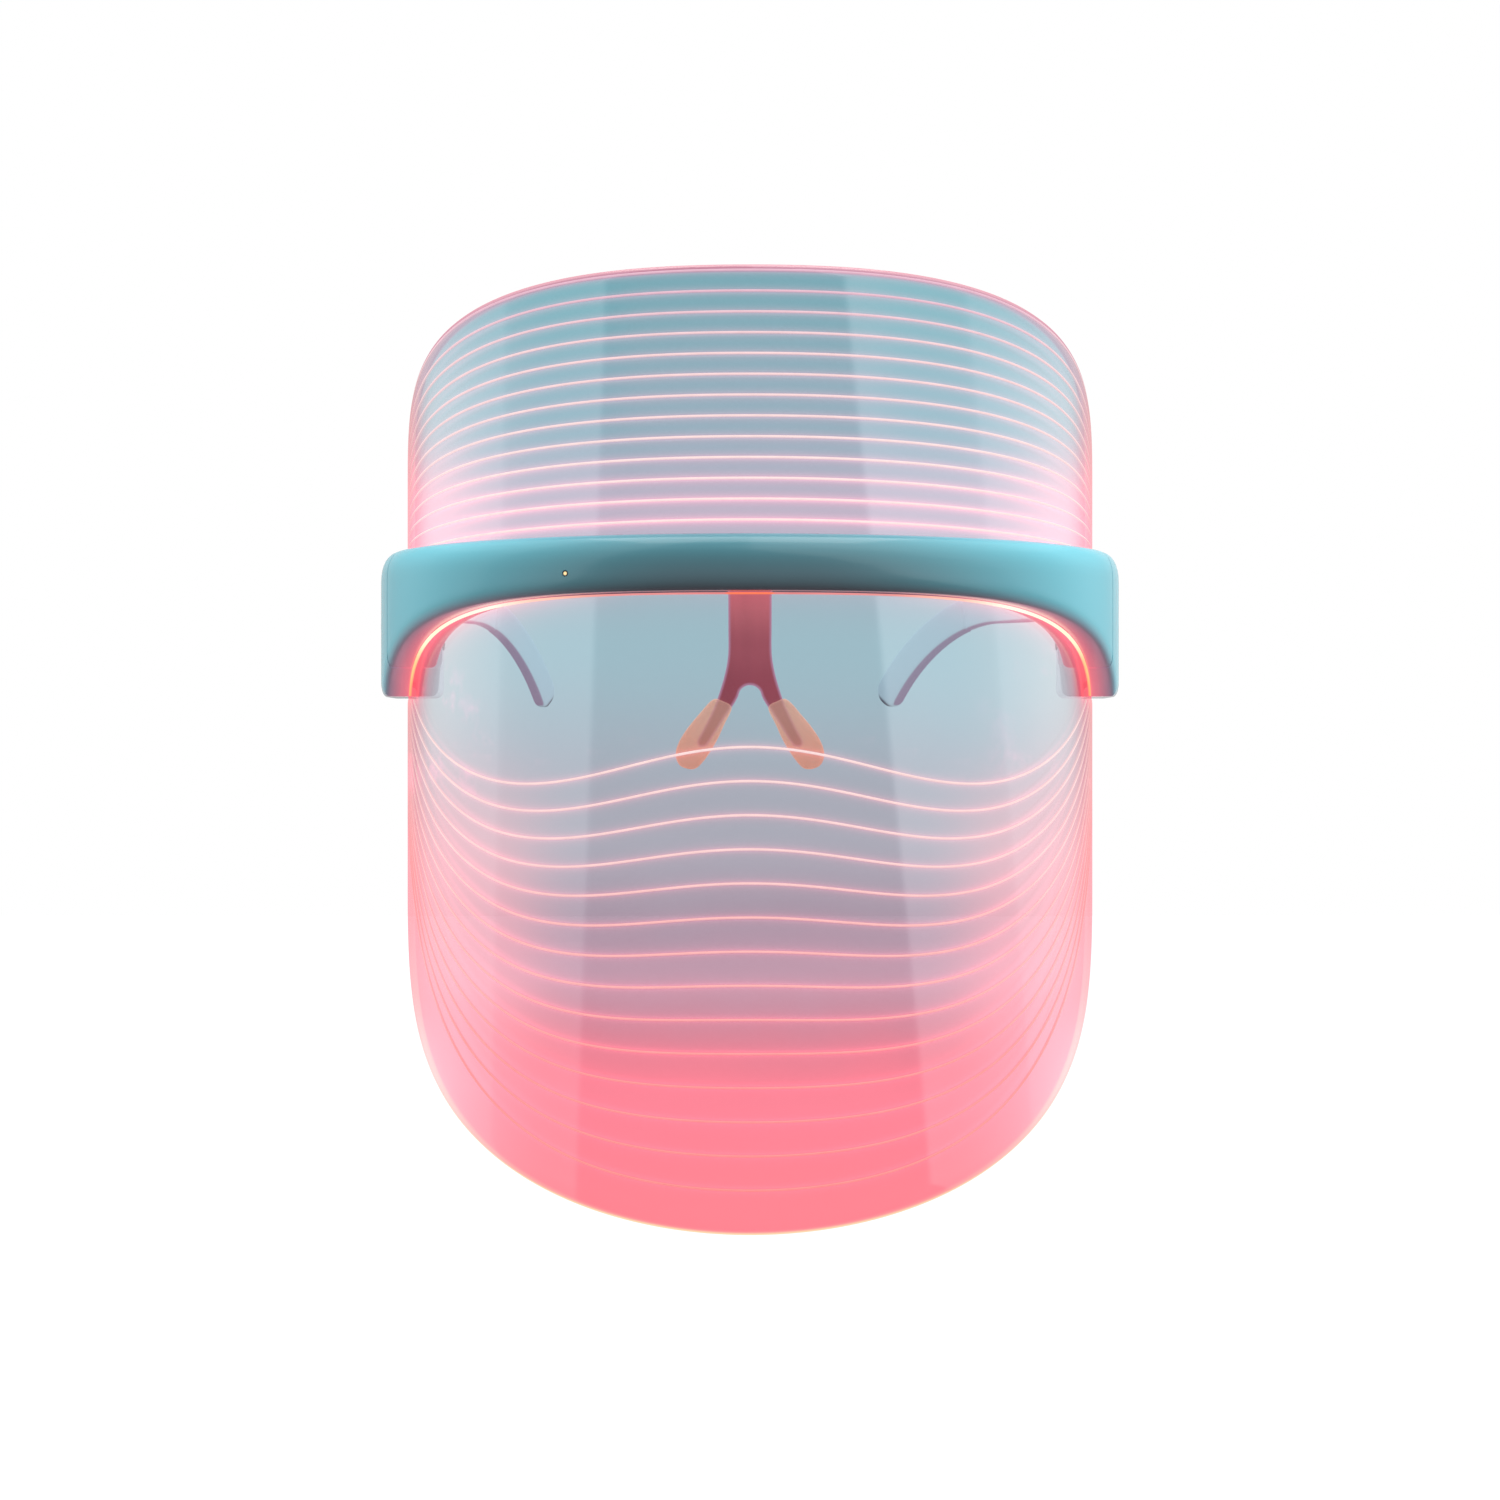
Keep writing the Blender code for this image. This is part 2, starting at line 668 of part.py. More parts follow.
def arm_point(along, up, across):
    """A point of the arm: a straight run, then a bend down over the ear, all bowed inwards."""
    if along <= ARM_STRAIGHT:
        r, z = along, up
    else:
        angle = (along - ARM_STRAIGHT) / ARM_BEND_RADIUS
        radius = ARM_BEND_RADIUS + up
        r = ARM_STRAIGHT + radius * math.sin(angle)
        z = radius * math.cos(angle) - ARM_BEND_RADIUS
    return Vector((across - ARM_BOW * (r / ARM_BOW_REACH) ** 2, r, z))


def arm_outline(start, end, start_half, end_half, round_end=True):
    """The arm's side view, unrolled: it tapers over its first stretch and may end in a half circle."""
    last = end - end_half if round_end else end
    upper = []
    for along in steps_between(start, last, ARM_SLICE):
        share = min((along - start) / ARM_STRAIGHT, 1.0)
        upper.append((along, start_half + (end_half - start_half) * share))
    tip = []
    if round_end:
        for angle in np.linspace(-math.pi / 2, math.pi / 2, 9)[1:-1]:
            tip.append((last + end_half * math.cos(angle), end_half * math.sin(angle)))
    return [(along, -half) for along, half in upper] + tip + upper[::-1]


def bend_arm(obj, side):
    """Turns an unrolled arm piece into its bent and bowed shape about the hinge axis, in metres."""
    mesh = baked(obj)
    bm = bmesh.new()
    bm.from_mesh(mesh)
    merge_flat_faces(bm)
    for along in steps_between(ARM_SLICE, ARM_LENGTH, ARM_SLICE):
        geometry = bm.verts[:] + bm.edges[:] + bm.faces[:]
        bmesh.ops.bisect_plane(bm, geom=geometry, dist=1e-4, plane_co=(along, 0, 0), plane_no=(1, 0, 0))
    bmesh.ops.triangulate(bm, faces=bm.faces)
    for vertex in bm.verts:
        along, up, across = vertex.co
        point = arm_point(along, up, across)
        vertex.co = Vector((side * point.x, point.y, point.z)) * MM
    bmesh.ops.dissolve_degenerate(bm, dist=1e-7, edges=bm.edges)
    bmesh.ops.recalc_face_normals(bm, faces=bm.faces)
    bm.to_mesh(mesh)
    bm.free()
    obj.modifiers.clear()
    obj.data = mesh
    return obj


def make_temple(label, side, arm_surface, tip_surface):
    """An arm and its soft tip, hung on an empty that stands on the hinge axis and holds the fold."""
    pivot = bpy.data.objects.new(f"hinge_axis_{label}", None)
    pivot.empty_display_size = 0.02
    PARTS.objects.link(pivot)
    pivot.location = on_curve(side * HINGE_S, HINGE_N, HINGE_Z)
    pivot.rotation_euler = (0.0, 0.0, side * math.radians(REST_FOLD_DEG[label]))

    eye = KNUCKLE_HEIGHTS[0][1] + GAP
    tang_end = ARM_LENGTH - TIP_WALL
    arm = plate(
        f"temple_arm_{label}",
        arm_outline(ARM_START, TIP_START, ARM_HALF_TALL + 0.6, ARM_HALF_TALL, round_end=False),
        -ARM_HALF_THICK,
        ARM_HALF_THICK,
    )
    join(
        arm,
        box("arm_root", (0.0, eye, 0.2 - ARM_HALF_THICK), (ARM_START + 1.0, -eye, ARM_HALF_THICK - 0.2)),
        cylinder("arm_eye", (0, 0, 0), KNUCKLE_RADIUS, eye, -eye, axis="Y"),
        plate(
            "tang",
            arm_outline(TIP_START - 1.0, tang_end, TANG_HALF_TALL, TANG_HALF_TALL),
            -TANG_HALF_THICK,
            TANG_HALF_THICK,
        ),
    )
    cut(arm, cylinder("eye_bore", (0, 0, 0), PIN_RADIUS + GAP / 2, -9, 9, axis="Y", segments=16))
    finish(bend_arm(arm, side), arm_surface)
    arm.parent = pivot

    tip = plate(
        f"temple_tip_{label}",
        arm_outline(TIP_START + GAP, ARM_LENGTH, TIP_HALF_TALL, TIP_HALF_TALL),
        -TIP_HALF_THICK,
        TIP_HALF_THICK,
    )
    hole_tall, hole_thick = TANG_HALF_TALL + GAP, TANG_HALF_THICK + GAP
    hole_outline = arm_outline(TIP_START - 2.0, tang_end + GAP, hole_tall, hole_tall)
    hole = plate("tang_hole", hole_outline, -hole_thick, hole_thick)
    soft_edges = tip.modifiers.new("soft_edges", "BEVEL")
    soft_edges.width = 0.9
    soft_edges.segments = 2
    soft_edges.limit_method = "ANGLE"
    soft_edges.angle_limit = math.radians(60)
    bake(tip)
    finish(bend_arm(cut(tip, hole), side), tip_surface)
    tip.parent = pivot


def make_hinge_pin(label, side, steel):
    axis_at = (side * HINGE_S, HINGE_Z, HINGE_N)
    end = KNUCKLE_HEIGHTS[1][1] - 0.2
    pin = cylinder(f"hinge_pin_{label}", axis_at, PIN_RADIUS, -end, end, axis="Y", segments=16)
    finish(wrap(pin), steel)


# ---------------------------------------------------------------- nose rest


def nose_depth(z):
    """How far the nose rest's middle lies behind the shield: it leaves the band and leans back."""
    start = BAND_BOTTOM - 3.0
    share = min(max((start - z) / start, 0.0), 1.15)
    return NOSE_GAP + NOSE_SET_BACK * share**1.3


def lean_back(obj):
    """Carries a flat nose piece, drawn in x and height, onto the sloping line of the nose."""
    mesh = baked(obj)
    bm = bmesh.new()
    bm.from_mesh(mesh)
    merge_flat_faces(bm)
    for i in range(-2, 15):
        geometry = bm.verts[:] + bm.edges[:] + bm.faces[:]
        bmesh.ops.bisect_plane(bm, geom=geometry, dist=1e-4, plane_co=(0, 3.0 * i, 0), plane_no=(0, 1, 0))
    bmesh.ops.triangulate(bm, faces=bm.faces)
    for vertex in bm.verts:
        x, z, out = vertex.co
        vertex.co = Vector((x, FRONT_Y + nose_depth(z) - out, z)) * MM
    bmesh.ops.dissolve_degenerate(bm, dist=1e-7, edges=bm.edges)
    bm.to_mesh(mesh)
    bm.free()
    obj.modifiers.clear()
    obj.data = mesh
    return obj


def capsule_outline(start, end, start_half, end_half, arc_points=7):
    """An outline round two circles of different radius, from start to end."""
    start, end = Vector(start), Vector(end)
    along = (end - start).normalized()
    across = Vector((-along.y, along.x))
    points = []
    for centre, radius, first in ((start, start_half, 90.0), (end, end_half, -90.0)):
        for i in range(arc_points):
            angle = math.radians(first + 180.0 * i / (arc_points - 1))
            points.append(tuple(centre + radius * (math.cos(angle) * along + math.sin(angle) * across)))
    return points


def mirrored(point, side):
    return (side * point[0], point[1])


def nose_bracket_outline():
    """The stem, with a soft flare into the fork: the crotch's arch lies between the legs."""
    half = NOSE_STEM_HALF
    flare = [(half, NOSE_TAB_TOP), (half, 21.5), (5.7, 18.8), (7.0, 15.8), (8.4, 13.2)]
    angles = np.linspace(0.0, math.pi, 9)
    arch = [(CROTCH_RADIUS * math.cos(a), CROTCH_Z + CROTCH_RADIUS * math.sin(a)) for a in angles]
    inner = [(4.0, 9.4)]
    right = flare + inner + arch
    left = [(-x, z) for x, z in reversed(flare + inner)]
    return right + left


def leg_outline(side, margin=0.0):
    ends = (mirrored(LEG_TOP, side), mirrored(LEG_FOOT, side))
    return capsule_outline(*ends, LEG_TOP_RADIUS + margin, LEG_FOOT_RADIUS + margin)


def make_nose_rest():
    plastic = material("bracket_plastic", (0.45, 0.62, 0.66), 0.35)
    half = NOSE_THICK / 2
    bracket = plate("nose_bracket", nose_bracket_outline(), -half, half)
    for side in SIDES.values():
        join(bracket, plate("leg", leg_outline(side), -half, half))
    finish(lean_back(bracket), plastic)

    silicone = material("pad_silicone", (0.93, 0.72, 0.62), 0.45, alpha=0.8)
    for label, side in SIDES.items():
        ends = (mirrored(PAD_TOP, side), mirrored(PAD_FOOT, side))
        outline = capsule_outline(*ends, PAD_TOP_RADIUS, PAD_FOOT_RADIUS, 9)
        pad = plate(f"nose_pad_{label}", outline, -PAD_HALF_THICK, PAD_HALF_THICK)
        rounding = pad.modifiers.new("rounding", "BEVEL")
        rounding.width = PAD_ROUND
        rounding.segments = 3
        rounding.limit_method = "ANGLE"
        rounding.angle_limit = math.radians(60)
        bake(pad)
        hole = plate("leg_hole", leg_outline(side, GAP), -half - GAP, half + GAP)
        web = box("web_hole", (-9.5, 9.0, -half - GAP), (9.5, 22.0, half + GAP))
        finish(lean_back(cut(pad, hole, web)), silicone)


# ---------------------------------------------------------------- the mask

PARTS = fresh_scene()


def build():
    shell = material("band_gloss", (0.16, 0.42, 0.48), 0.22)
    steel = material("stainless", (0.60, 0.60, 0.62), 0.35, 1.0)
    arm_surface = material("arm_plastic", (0.72, 0.80, 0.84), 0.35)
    tip_surface = material("tip_silicone", (0.80, 0.84, 0.87), 0.55)
    make_shields()
    make_brow_covers(shell)
    for label, side in SIDES.items():
        make_end_cap(label, side, shell)
        make_inner_housing(label, side, shell)
        make_hinge_block(label, side, steel)
        make_hinge_pin(label, side, steel)
        make_temple(label, side, arm_surface, tip_surface)
    make_screws(steel)
    make_lights()
    make_battery()
    make_control_board()
    make_usb_socket()
    make_button()
    make_battery_lead()
    make_nose_rest()


build()
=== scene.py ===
"""Looks of an edge-lit LED face mask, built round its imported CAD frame.

Curved pieces are drawn flat, as (s, z, n) in millimetres: s runs along the band's curve from the middle
of the face, z is the height and n points outwards. They are then wrapped onto the curve, in metres.
Each keeps its flat place in an attribute, so that its material knows where on the mask it is.
Left and right are the wearer's, so left is +X.
"""

import math

import bmesh
import bpy
import numpy as np
from mathutils import Matrix, Vector


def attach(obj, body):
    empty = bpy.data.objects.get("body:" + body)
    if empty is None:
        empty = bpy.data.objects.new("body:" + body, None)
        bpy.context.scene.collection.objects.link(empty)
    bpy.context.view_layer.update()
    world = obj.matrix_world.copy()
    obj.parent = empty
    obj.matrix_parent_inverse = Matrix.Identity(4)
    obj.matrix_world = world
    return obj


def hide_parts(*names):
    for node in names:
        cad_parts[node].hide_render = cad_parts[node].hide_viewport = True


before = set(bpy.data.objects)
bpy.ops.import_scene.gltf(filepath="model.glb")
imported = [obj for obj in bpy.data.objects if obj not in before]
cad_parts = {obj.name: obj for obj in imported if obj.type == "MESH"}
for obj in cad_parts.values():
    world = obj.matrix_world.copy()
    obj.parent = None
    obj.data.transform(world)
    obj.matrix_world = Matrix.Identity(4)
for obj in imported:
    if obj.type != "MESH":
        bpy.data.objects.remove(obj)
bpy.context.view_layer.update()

MM = 0.001
SIDES = {"left": 1, "right": -1}

# The curve round the face: half an ellipse, then a straight run back towards each ear.
HALF_WIDTH = 88.0
CURVE_DEPTH = 70.0
FRONT_Y = -26.0
CURVE_SAMPLES = 4000

# Shields
HALF_THICK = 1.0
HALF_SPAN = 120.0
FOREHEAD_FOOT = 51.0
FOREHEAD_RISE = 62.7
FOREHEAD_POWERS = (2.9, 2.5)
CHIN_CENTRE = -20.0
CHIN_DROP = 93.6
TUCK = 4.0
HIDDEN_SPAN = 112.0
SHOULDER = 13.2
SHEET_LOW = CHIN_CENTRE - CHIN_DROP
SHEET_TALL = FOREHEAD_FOOT + FOREHEAD_RISE - SHEET_LOW
SHEET_COVER = 0.22

# Brow band and end housings
BAND_TOP = 50.5
BAND_BOTTOM = 37.1
BAND_OUT = 7.8
BAND_IN = 5.2
HOUSING_IN = 6.5
END_BOTTOM = 13.7
END_CORNER = 109.0
BAND_REACH = 104.0
END_START = 104.3
END_REAR = 140.0
REAR_ROUND = 3.2
END_SPACING = 0.9
SEAM = 0.15
WALL = 1.8
SLOT_HALF = 1.3
SLOT_RUN = (100.0, HIDDEN_SPAN + 0.4)
SLOT_HEIGHTS = (0.0, 60.0)
GUIDE_TALL = 9.0

# Hinges, temple arms and controls
HINGE = (143.0, 40.0, -3.5)
KNUCKLE_RADIUS = 2.3
KNUCKLE_HALF = 3.1
PIN_BORE = 0.95
EAR_HEIGHTS = ((-6.8, -3.1), (3.1, 6.8))
EAR_RUN = (137.0, 142.0)
EAR_HALF = 1.3
ARM_START = 3.2
ARM_STRAIGHT = 32.0
BEND_RADIUS = 58.0
ARM_END = ARM_STRAIGHT + BEND_RADIUS * math.radians(57.0)
ARM_HALF = (5.2, 1.25)
ARM_TAPER = 0.6
ARM_POWER = 7.0
TIP_START = 45.0
TIP_HALF = (4.7, 1.55)
TIP_LIP = 1.2
TIP_POWER = 5.0
TANG_HALF = (3.1, 0.7)
ARM_BOW = 10.0
ARM_REACH = 80.0
REST_FOLD_DEG = {"left": 26.0, "right": 10.0}
BUTTON = (-127.0, 32.0)
BUTTON_RADIUS = 4.2
SOCKET = (22.1, 2.2)
SOCKET_HALF = (4.6, 1.7)
SOCKET_RUN = (136.0, 141.0)
LIGHT = (-41.4, 41.4)
LIGHT_RADIUS = 0.5
SCREW_PLACES = ((108.4, 43.5), (109.6, 26.0), (135.6, 28.6))
SCREW_BORE = 1.25
SCREW_SEAT = 2.3
SEAT_DEPTH = 0.9
THROUGH = 9.0
GAP = 0.3

# Nose rest
NOSE_TOP = BAND_BOTTOM - 3.0
NOSE_SET_BACK = 2.5
NOSE_LEAN = 22.5
LEAN_POWER = 1.3
BRACKET_TOP = 42.0
PAD_HALF_THICK = 2.4
PAD_POWER = 2.6

# Glowing lines
UPPER_LINES = 13
LOWER_LINES = 14
LINE_RADIUS = 0.32
LINE_DEPTH = 0.82
EDGE_LIGHT_RADII = ((30.0, 0.22), (50.0, 0.30), (65.0, 0.42), (100.0, 0.46), (109.0, 0.34))

# Colour drift of plain plastic, as a share
DRIFT = 0.06

# Studio, in metres
CAMERA_DISTANCE = 0.626
CAMERA_LENS = 61.5
SENSOR_WIDTH = 36.0
FLOOR_HALF = 4.0
FLOOR_HEIGHT = -0.3


# ---- the curve and the outlines


def sampled_curve():
    angle = np.linspace(0.0, math.pi / 2, CURVE_SAMPLES)
    across = HALF_WIDTH * np.sin(angle)
    back = CURVE_DEPTH * (1.0 - np.cos(angle))
    steps = np.hypot(np.diff(across), np.diff(back))
    slope = np.arctan2(CURVE_DEPTH * np.sin(angle), HALF_WIDTH * np.cos(angle))
    return np.concatenate([[0.0], np.cumsum(steps)]), across, back, slope


ARC, ACROSS, BACK, SLOPE = sampled_curve()


def on_curve(flat):
    """World points, in metres, of an array of (s, z, n) rows."""
    s, z, n = np.asarray(flat, float).reshape(-1, 3).T
    run = np.abs(s)
    slope = np.interp(run, ARC, SLOPE)
    x = (np.interp(run, ARC, ACROSS) + n * np.sin(slope)) * np.where(s >= 0, 1.0, -1.0)
    y = FRONT_Y + np.interp(run, ARC, BACK) + np.maximum(run - ARC[-1], 0.0) - n * np.cos(slope)
    return np.column_stack([x, y, z]) * MM


def band_bottom(s):
    """The brow band's lower edge, which turns down into the end housings."""
    u = np.minimum(np.abs(s) / END_CORNER, 1.0)
    return END_BOTTOM + (BAND_BOTTOM - END_BOTTOM) * (1.0 - u**4) ** (2.0 / 3.0)


def forehead_top(s):
    u = np.minimum(np.abs(s) / HALF_SPAN, 1.0)
    across, up = FOREHEAD_POWERS
    return FOREHEAD_FOOT + FOREHEAD_RISE * (1.0 - u**across) ** (1.0 / up)


def forehead_bottom(s):
    return np.where(np.abs(s) < HIDDEN_SPAN, BAND_TOP - TUCK, FOREHEAD_FOOT)


def chin_edge(s):
    u = np.minimum(np.abs(s) / HALF_SPAN, 1.0)
    return CHIN_CENTRE - CHIN_DROP * np.sqrt(1.0 - u**2)


def face_top(s):
    return np.where(np.abs(s) < HIDDEN_SPAN, band_bottom(s) + TUCK, SHOULDER)


def upper_line(s, share):
    """Lines of the forehead: the lowest hugs the band and the highest follows the rim."""
    low = 53.9 - 3.1 * (s / 94.0) ** 2
    return low + (forehead_top(s) - 1.4 - low) * share


def lower_line(s, share):
    """Lines of the face: the first arches over the nose and under the eyes, the last follows the chin."""
    run = np.abs(s)
    arch = 0.7 - 4.4 * (1.0 - np.cos(math.pi * np.minimum(run, 56.0) / 56.0))
    first = arch + 0.0088 * np.maximum(run - 56.0, 0.0) ** 2
    last = -103.0 + 0.0029 * run**2 + 2.9e-7 * run**4
    return first + (last - first) * share


# ---- meshes


def new_object(name, data):
    obj = bpy.data.objects.new(name, data)
    bpy.context.scene.collection.objects.link(obj)
    return obj


def object_from(name, verts, faces):
    mesh = bpy.data.meshes.new(name)
    mesh.from_pydata([tuple(v) for v in verts], [], faces)
    mesh.update()
    return new_object(name, mesh)


def ring_faces(rings, count, first=0):
    """Quads between rings of points that follow each other, closed by a face at each end."""
    faces = []
    for r in range(rings - 1):
        a = first + r * count
        for i in range(count):
            j = (i + 1) % count
            faces.append((a + i, a + j, a + count + j, a + count + i))
    last = first + (rings - 1) * count
    faces.append(tuple(range(first + count - 1, first - 1, -1)))
    faces.append(tuple(range(last, last + count)))
    return faces


def loft(name, *groups):
    """One closed body for each group of sections, all in one object."""
    verts, faces = [], []
    for sections in groups:
        rings = np.asarray(sections, float)
        faces += ring_faces(rings.shape[0], rings.shape[1], len(verts))
        verts += [tuple(v) for v in rings.reshape(-1, 3)]
    obj = object_from(name, verts, faces)
    face_outwards(obj)
    return obj


def face_outwards(obj):
    bm = bmesh.new()
    bm.from_mesh(obj.data)
    bmesh.ops.recalc_face_normals(bm, faces=bm.faces)
    bm.to_mesh(obj.data)
    bm.free()


def combine(target, operation, *others):
    for other in others:
        boolean = target.modifiers.new("boolean", "BOOLEAN")
        boolean.operation = operation
        boolean.solver = "EXACT"
        boolean.object = other
        bpy.context.view_layer.update()
        graph = bpy.context.evaluated_depsgraph_get()
        mesh = bpy.data.meshes.new_from_object(target.evaluated_get(graph))
        target.modifiers.clear()
        target.data = mesh
        bpy.data.objects.remove(other, do_unlink=True)
    return target


def cut(target, *others):
    return combine(target, "DIFFERENCE", *others)


def object_of(name, bm):
    obj = object_from(name, [], [])
    bm.to_mesh(obj.data)
    bm.free()
    return obj


def box(low, high):
    bm = bmesh.new()
    bmesh.ops.create_cube(bm, size=1.0)
    size, middle = Vector(high) - Vector(low), (Vector(high) + Vector(low)) / 2
    bm.transform(Matrix.Translation(middle) @ Matrix.Diagonal((*size, 1.0)))
    return object_of("box", bm)


def cylinder(centre, radius, start, end, axis="Z", segments=48):
    bm = bmesh.new()
    depth = end - start
    bmesh.ops.create_cone(bm, cap_ends=True, segments=segments, radius1=radius, radius2=radius, depth=depth)
    turn = Matrix.Rotation(-math.pi / 2, 4, "X") if axis == "Y" else Matrix.Identity(4)
    along = Vector((0, 0, 1)) if axis == "Z" else Vector((0, 1, 0))
    bm.transform(Matrix.Translation(Vector(centre) + along * (start + end) / 2) @ turn)
    return object_of("cylinder", bm)


def points_of(mesh):
    co = np.zeros(len(mesh.vertices) * 3)
    mesh.vertices.foreach_get("co", co)
    return co.reshape(-1, 3)


def store(obj, name, values):
    kind = "FLOAT_VECTOR" if values.ndim == 2 else "FLOAT"
    field = "vector" if values.ndim == 2 else "value"
    attribute = obj.data.attributes.new(name, kind, "POINT")
    attribute.data.foreach_set(field, np.ascontiguousarray(values, np.float32).ravel())


def place_on(obj, place):
    """Moves an object's flat points to where place puts them, and keeps the flat ones as an attribute."""
    flat = points_of(obj.data)
    store(obj, "flat", flat)
    obj.data.vertices.foreach_set("co", np.ascontiguousarray(place(flat)).ravel())
    obj.data.update()
    face_outwards(obj)
    return obj


def smooth(obj, angle_deg=38.0):
    obj.data.shade_smooth()
    obj.data.set_sharp_from_angle(angle=math.radians(angle_deg))
    return obj


def finish(obj, material, body, slot, *nodes):
    obj.data.materials.clear()
    obj.data.materials.append(material)
    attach(obj, body)
    if nodes:
        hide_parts(*nodes)


# ---- materials


class Nodes:
    """A node tree under construction. Its methods add nodes and hand back their output sockets."""

    def __init__(self, tree):
        self.tree = tree

    def feed(self, socket, value):
        if isinstance(value, bpy.types.NodeSocket):
            self.tree.links.new(value, socket)
        elif value is not None:
            socket.default_value = value

    def add(self, kind, **inputs):
        """A new node with its inputs fed, named with _ for a space."""
        node = self.tree.nodes.new("ShaderNode" + kind)
        for name, value in inputs.items():
            self.feed(node.inputs[name.replace("_", " ")], value)
        return node

    def math(self, operation, a, b=None, c=None):
        node = self.add("Math")
        node.operation = operation
        for socket, value in zip(node.inputs, (a, b, c)):
            self.feed(socket, value)
        return node.outputs[0]

    def times(self, *values):
        """The product of all the values, from the left."""
        total = values[0]
        for value in values[1:]:
            total = self.math("MULTIPLY", total, value)
        return total

    def linear(self, value, scale, base):
        """The value times scale, plus base."""
        return self.math("MULTIPLY_ADD", value, scale, base)

    def apart(self, value, middle):
        """How far a value is from a number."""
        return self.math("ABSOLUTE", self.math("SUBTRACT", value, middle))

    def span(self, value, low, high, to_low=0.0, to_high=1.0):
        """A smooth step from to_low at low to to_high at high."""
        node = self.add("MapRange", Value=value, From_Min=low, From_Max=high, To_Min=to_low, To_Max=to_high)
        node.interpolation_type = "SMOOTHSTEP"
        return node.outputs["Result"]

    def attribute(self, name, axis=None):
        node = self.add("Attribute")
        node.attribute_name = name
        if axis is None:
            return node.outputs["Fac"]
        return self.add("SeparateXYZ", Vector=node.outputs["Vector"]).outputs[axis]

    def coordinates(self):
        return self.add("TexCoord").outputs["Object"]

    def stretched(self, scale):
        return self.add("Mapping", Vector=self.coordinates(), Scale=scale).outputs[0]

    def noise(self, scale, detail=3.0, roughness=0.5, vector=None):
        place = vector or self.coordinates()
        node = self.add("TexNoise", Vector=place, Scale=scale, Detail=detail, Roughness=roughness)
        return node.outputs["Fac"]

    def ramp(self, value, *stops):
        node = self.add("ValToRGB")
        node.color_ramp.interpolation = "EASE"
        while len(node.color_ramp.elements) < len(stops):
            node.color_ramp.elements.new(0.5)
        for element, (at, colour) in zip(node.color_ramp.elements, stops):
            element.position = at
            element.color = (*colour, 1.0)
        self.feed(node.inputs[0], value)
        return node.outputs["Color"]

    def by_height(self, share, *stops):
        """A ramp over the height of the sheets, with its stops in millimetres."""
        return self.ramp(share, *(((z - SHEET_LOW) / SHEET_TALL, colour) for z, colour in stops))

    def mix(self, share, a, b, blend="MIX"):
        node = self.add("Mix")
        node.data_type = "RGBA"
        node.blend_type = blend
        node.clamp_result = False
        self.feed(node.inputs[0], share)
        for socket, value in ((node.inputs[6], a), (node.inputs[7], b)):
            self.feed(socket, (*value, 1.0) if isinstance(value, tuple) else value)
        return node.outputs[2]

    def scaled(self, colour, factor):
        node = self.add("VectorMath")
        node.operation = "SCALE"
        self.feed(node.inputs[0], colour)
        self.feed(node.inputs["Scale"], factor)
        return node.outputs[0]

    def added(self, *colours):
        total = colours[0]
        for colour in colours[1:]:
            node = self.add("VectorMath")
            self.feed(node.inputs[0], total)
            self.feed(node.inputs[1], colour)
            total = node.outputs[0]
        return total


class Surface(Nodes):
    """A material under construction, round its Principled shader."""

    def __init__(self, name):
        self.material = bpy.data.materials.new(name)
        self.material.use_nodes = True
        super().__init__(self.material.node_tree)
        self.shader = self.tree.nodes["Principled BSDF"]
        self.output = self.tree.nodes["Material Output"]

    def set(self, **values):
        """Feeds inputs of the shader, named with _ for a space. What is emitted has a strength of 1."""
        if "Emission_Color" in values:
            values.setdefault("Emission_Strength", 1.0)
        for name, value in values.items():
            socket = self.shader.inputs[name.replace("_", " ")]
            if isinstance(value, tuple) and len(value) == 3 and socket.type == "RGBA":
                value = (*value, 1.0)
            self.feed(socket, value)

    def run_and_height(self):
        """Distance along the band from the middle, height, and the height's share of the sheets'."""
        z = self.attribute("flat", 1)
        share = self.math("DIVIDE", self.math("SUBTRACT", z, SHEET_LOW), SHEET_TALL)
        return self.math("ABSOLUTE", self.attribute("flat", 0)), z, share

    def bump(self, height, strength, distance):
        node = self.add("Bump", Strength=strength, Distance=distance, Height=height)
        self.feed(self.shader.inputs["Normal"], node.outputs[0])

    def see_through(self, cover, tint):
        """Shows what is behind, tinted, where cover is under 1."""
        clear = self.add("BsdfTransparent", Color=tint)
        mixed = self.add("MixShader")
        for socket, value in zip(mixed.inputs, (cover, clear.outputs[0], self.shader.outputs[0])):
            self.feed(socket, value)
        self.feed(self.output.inputs["Surface"], mixed.outputs[0])


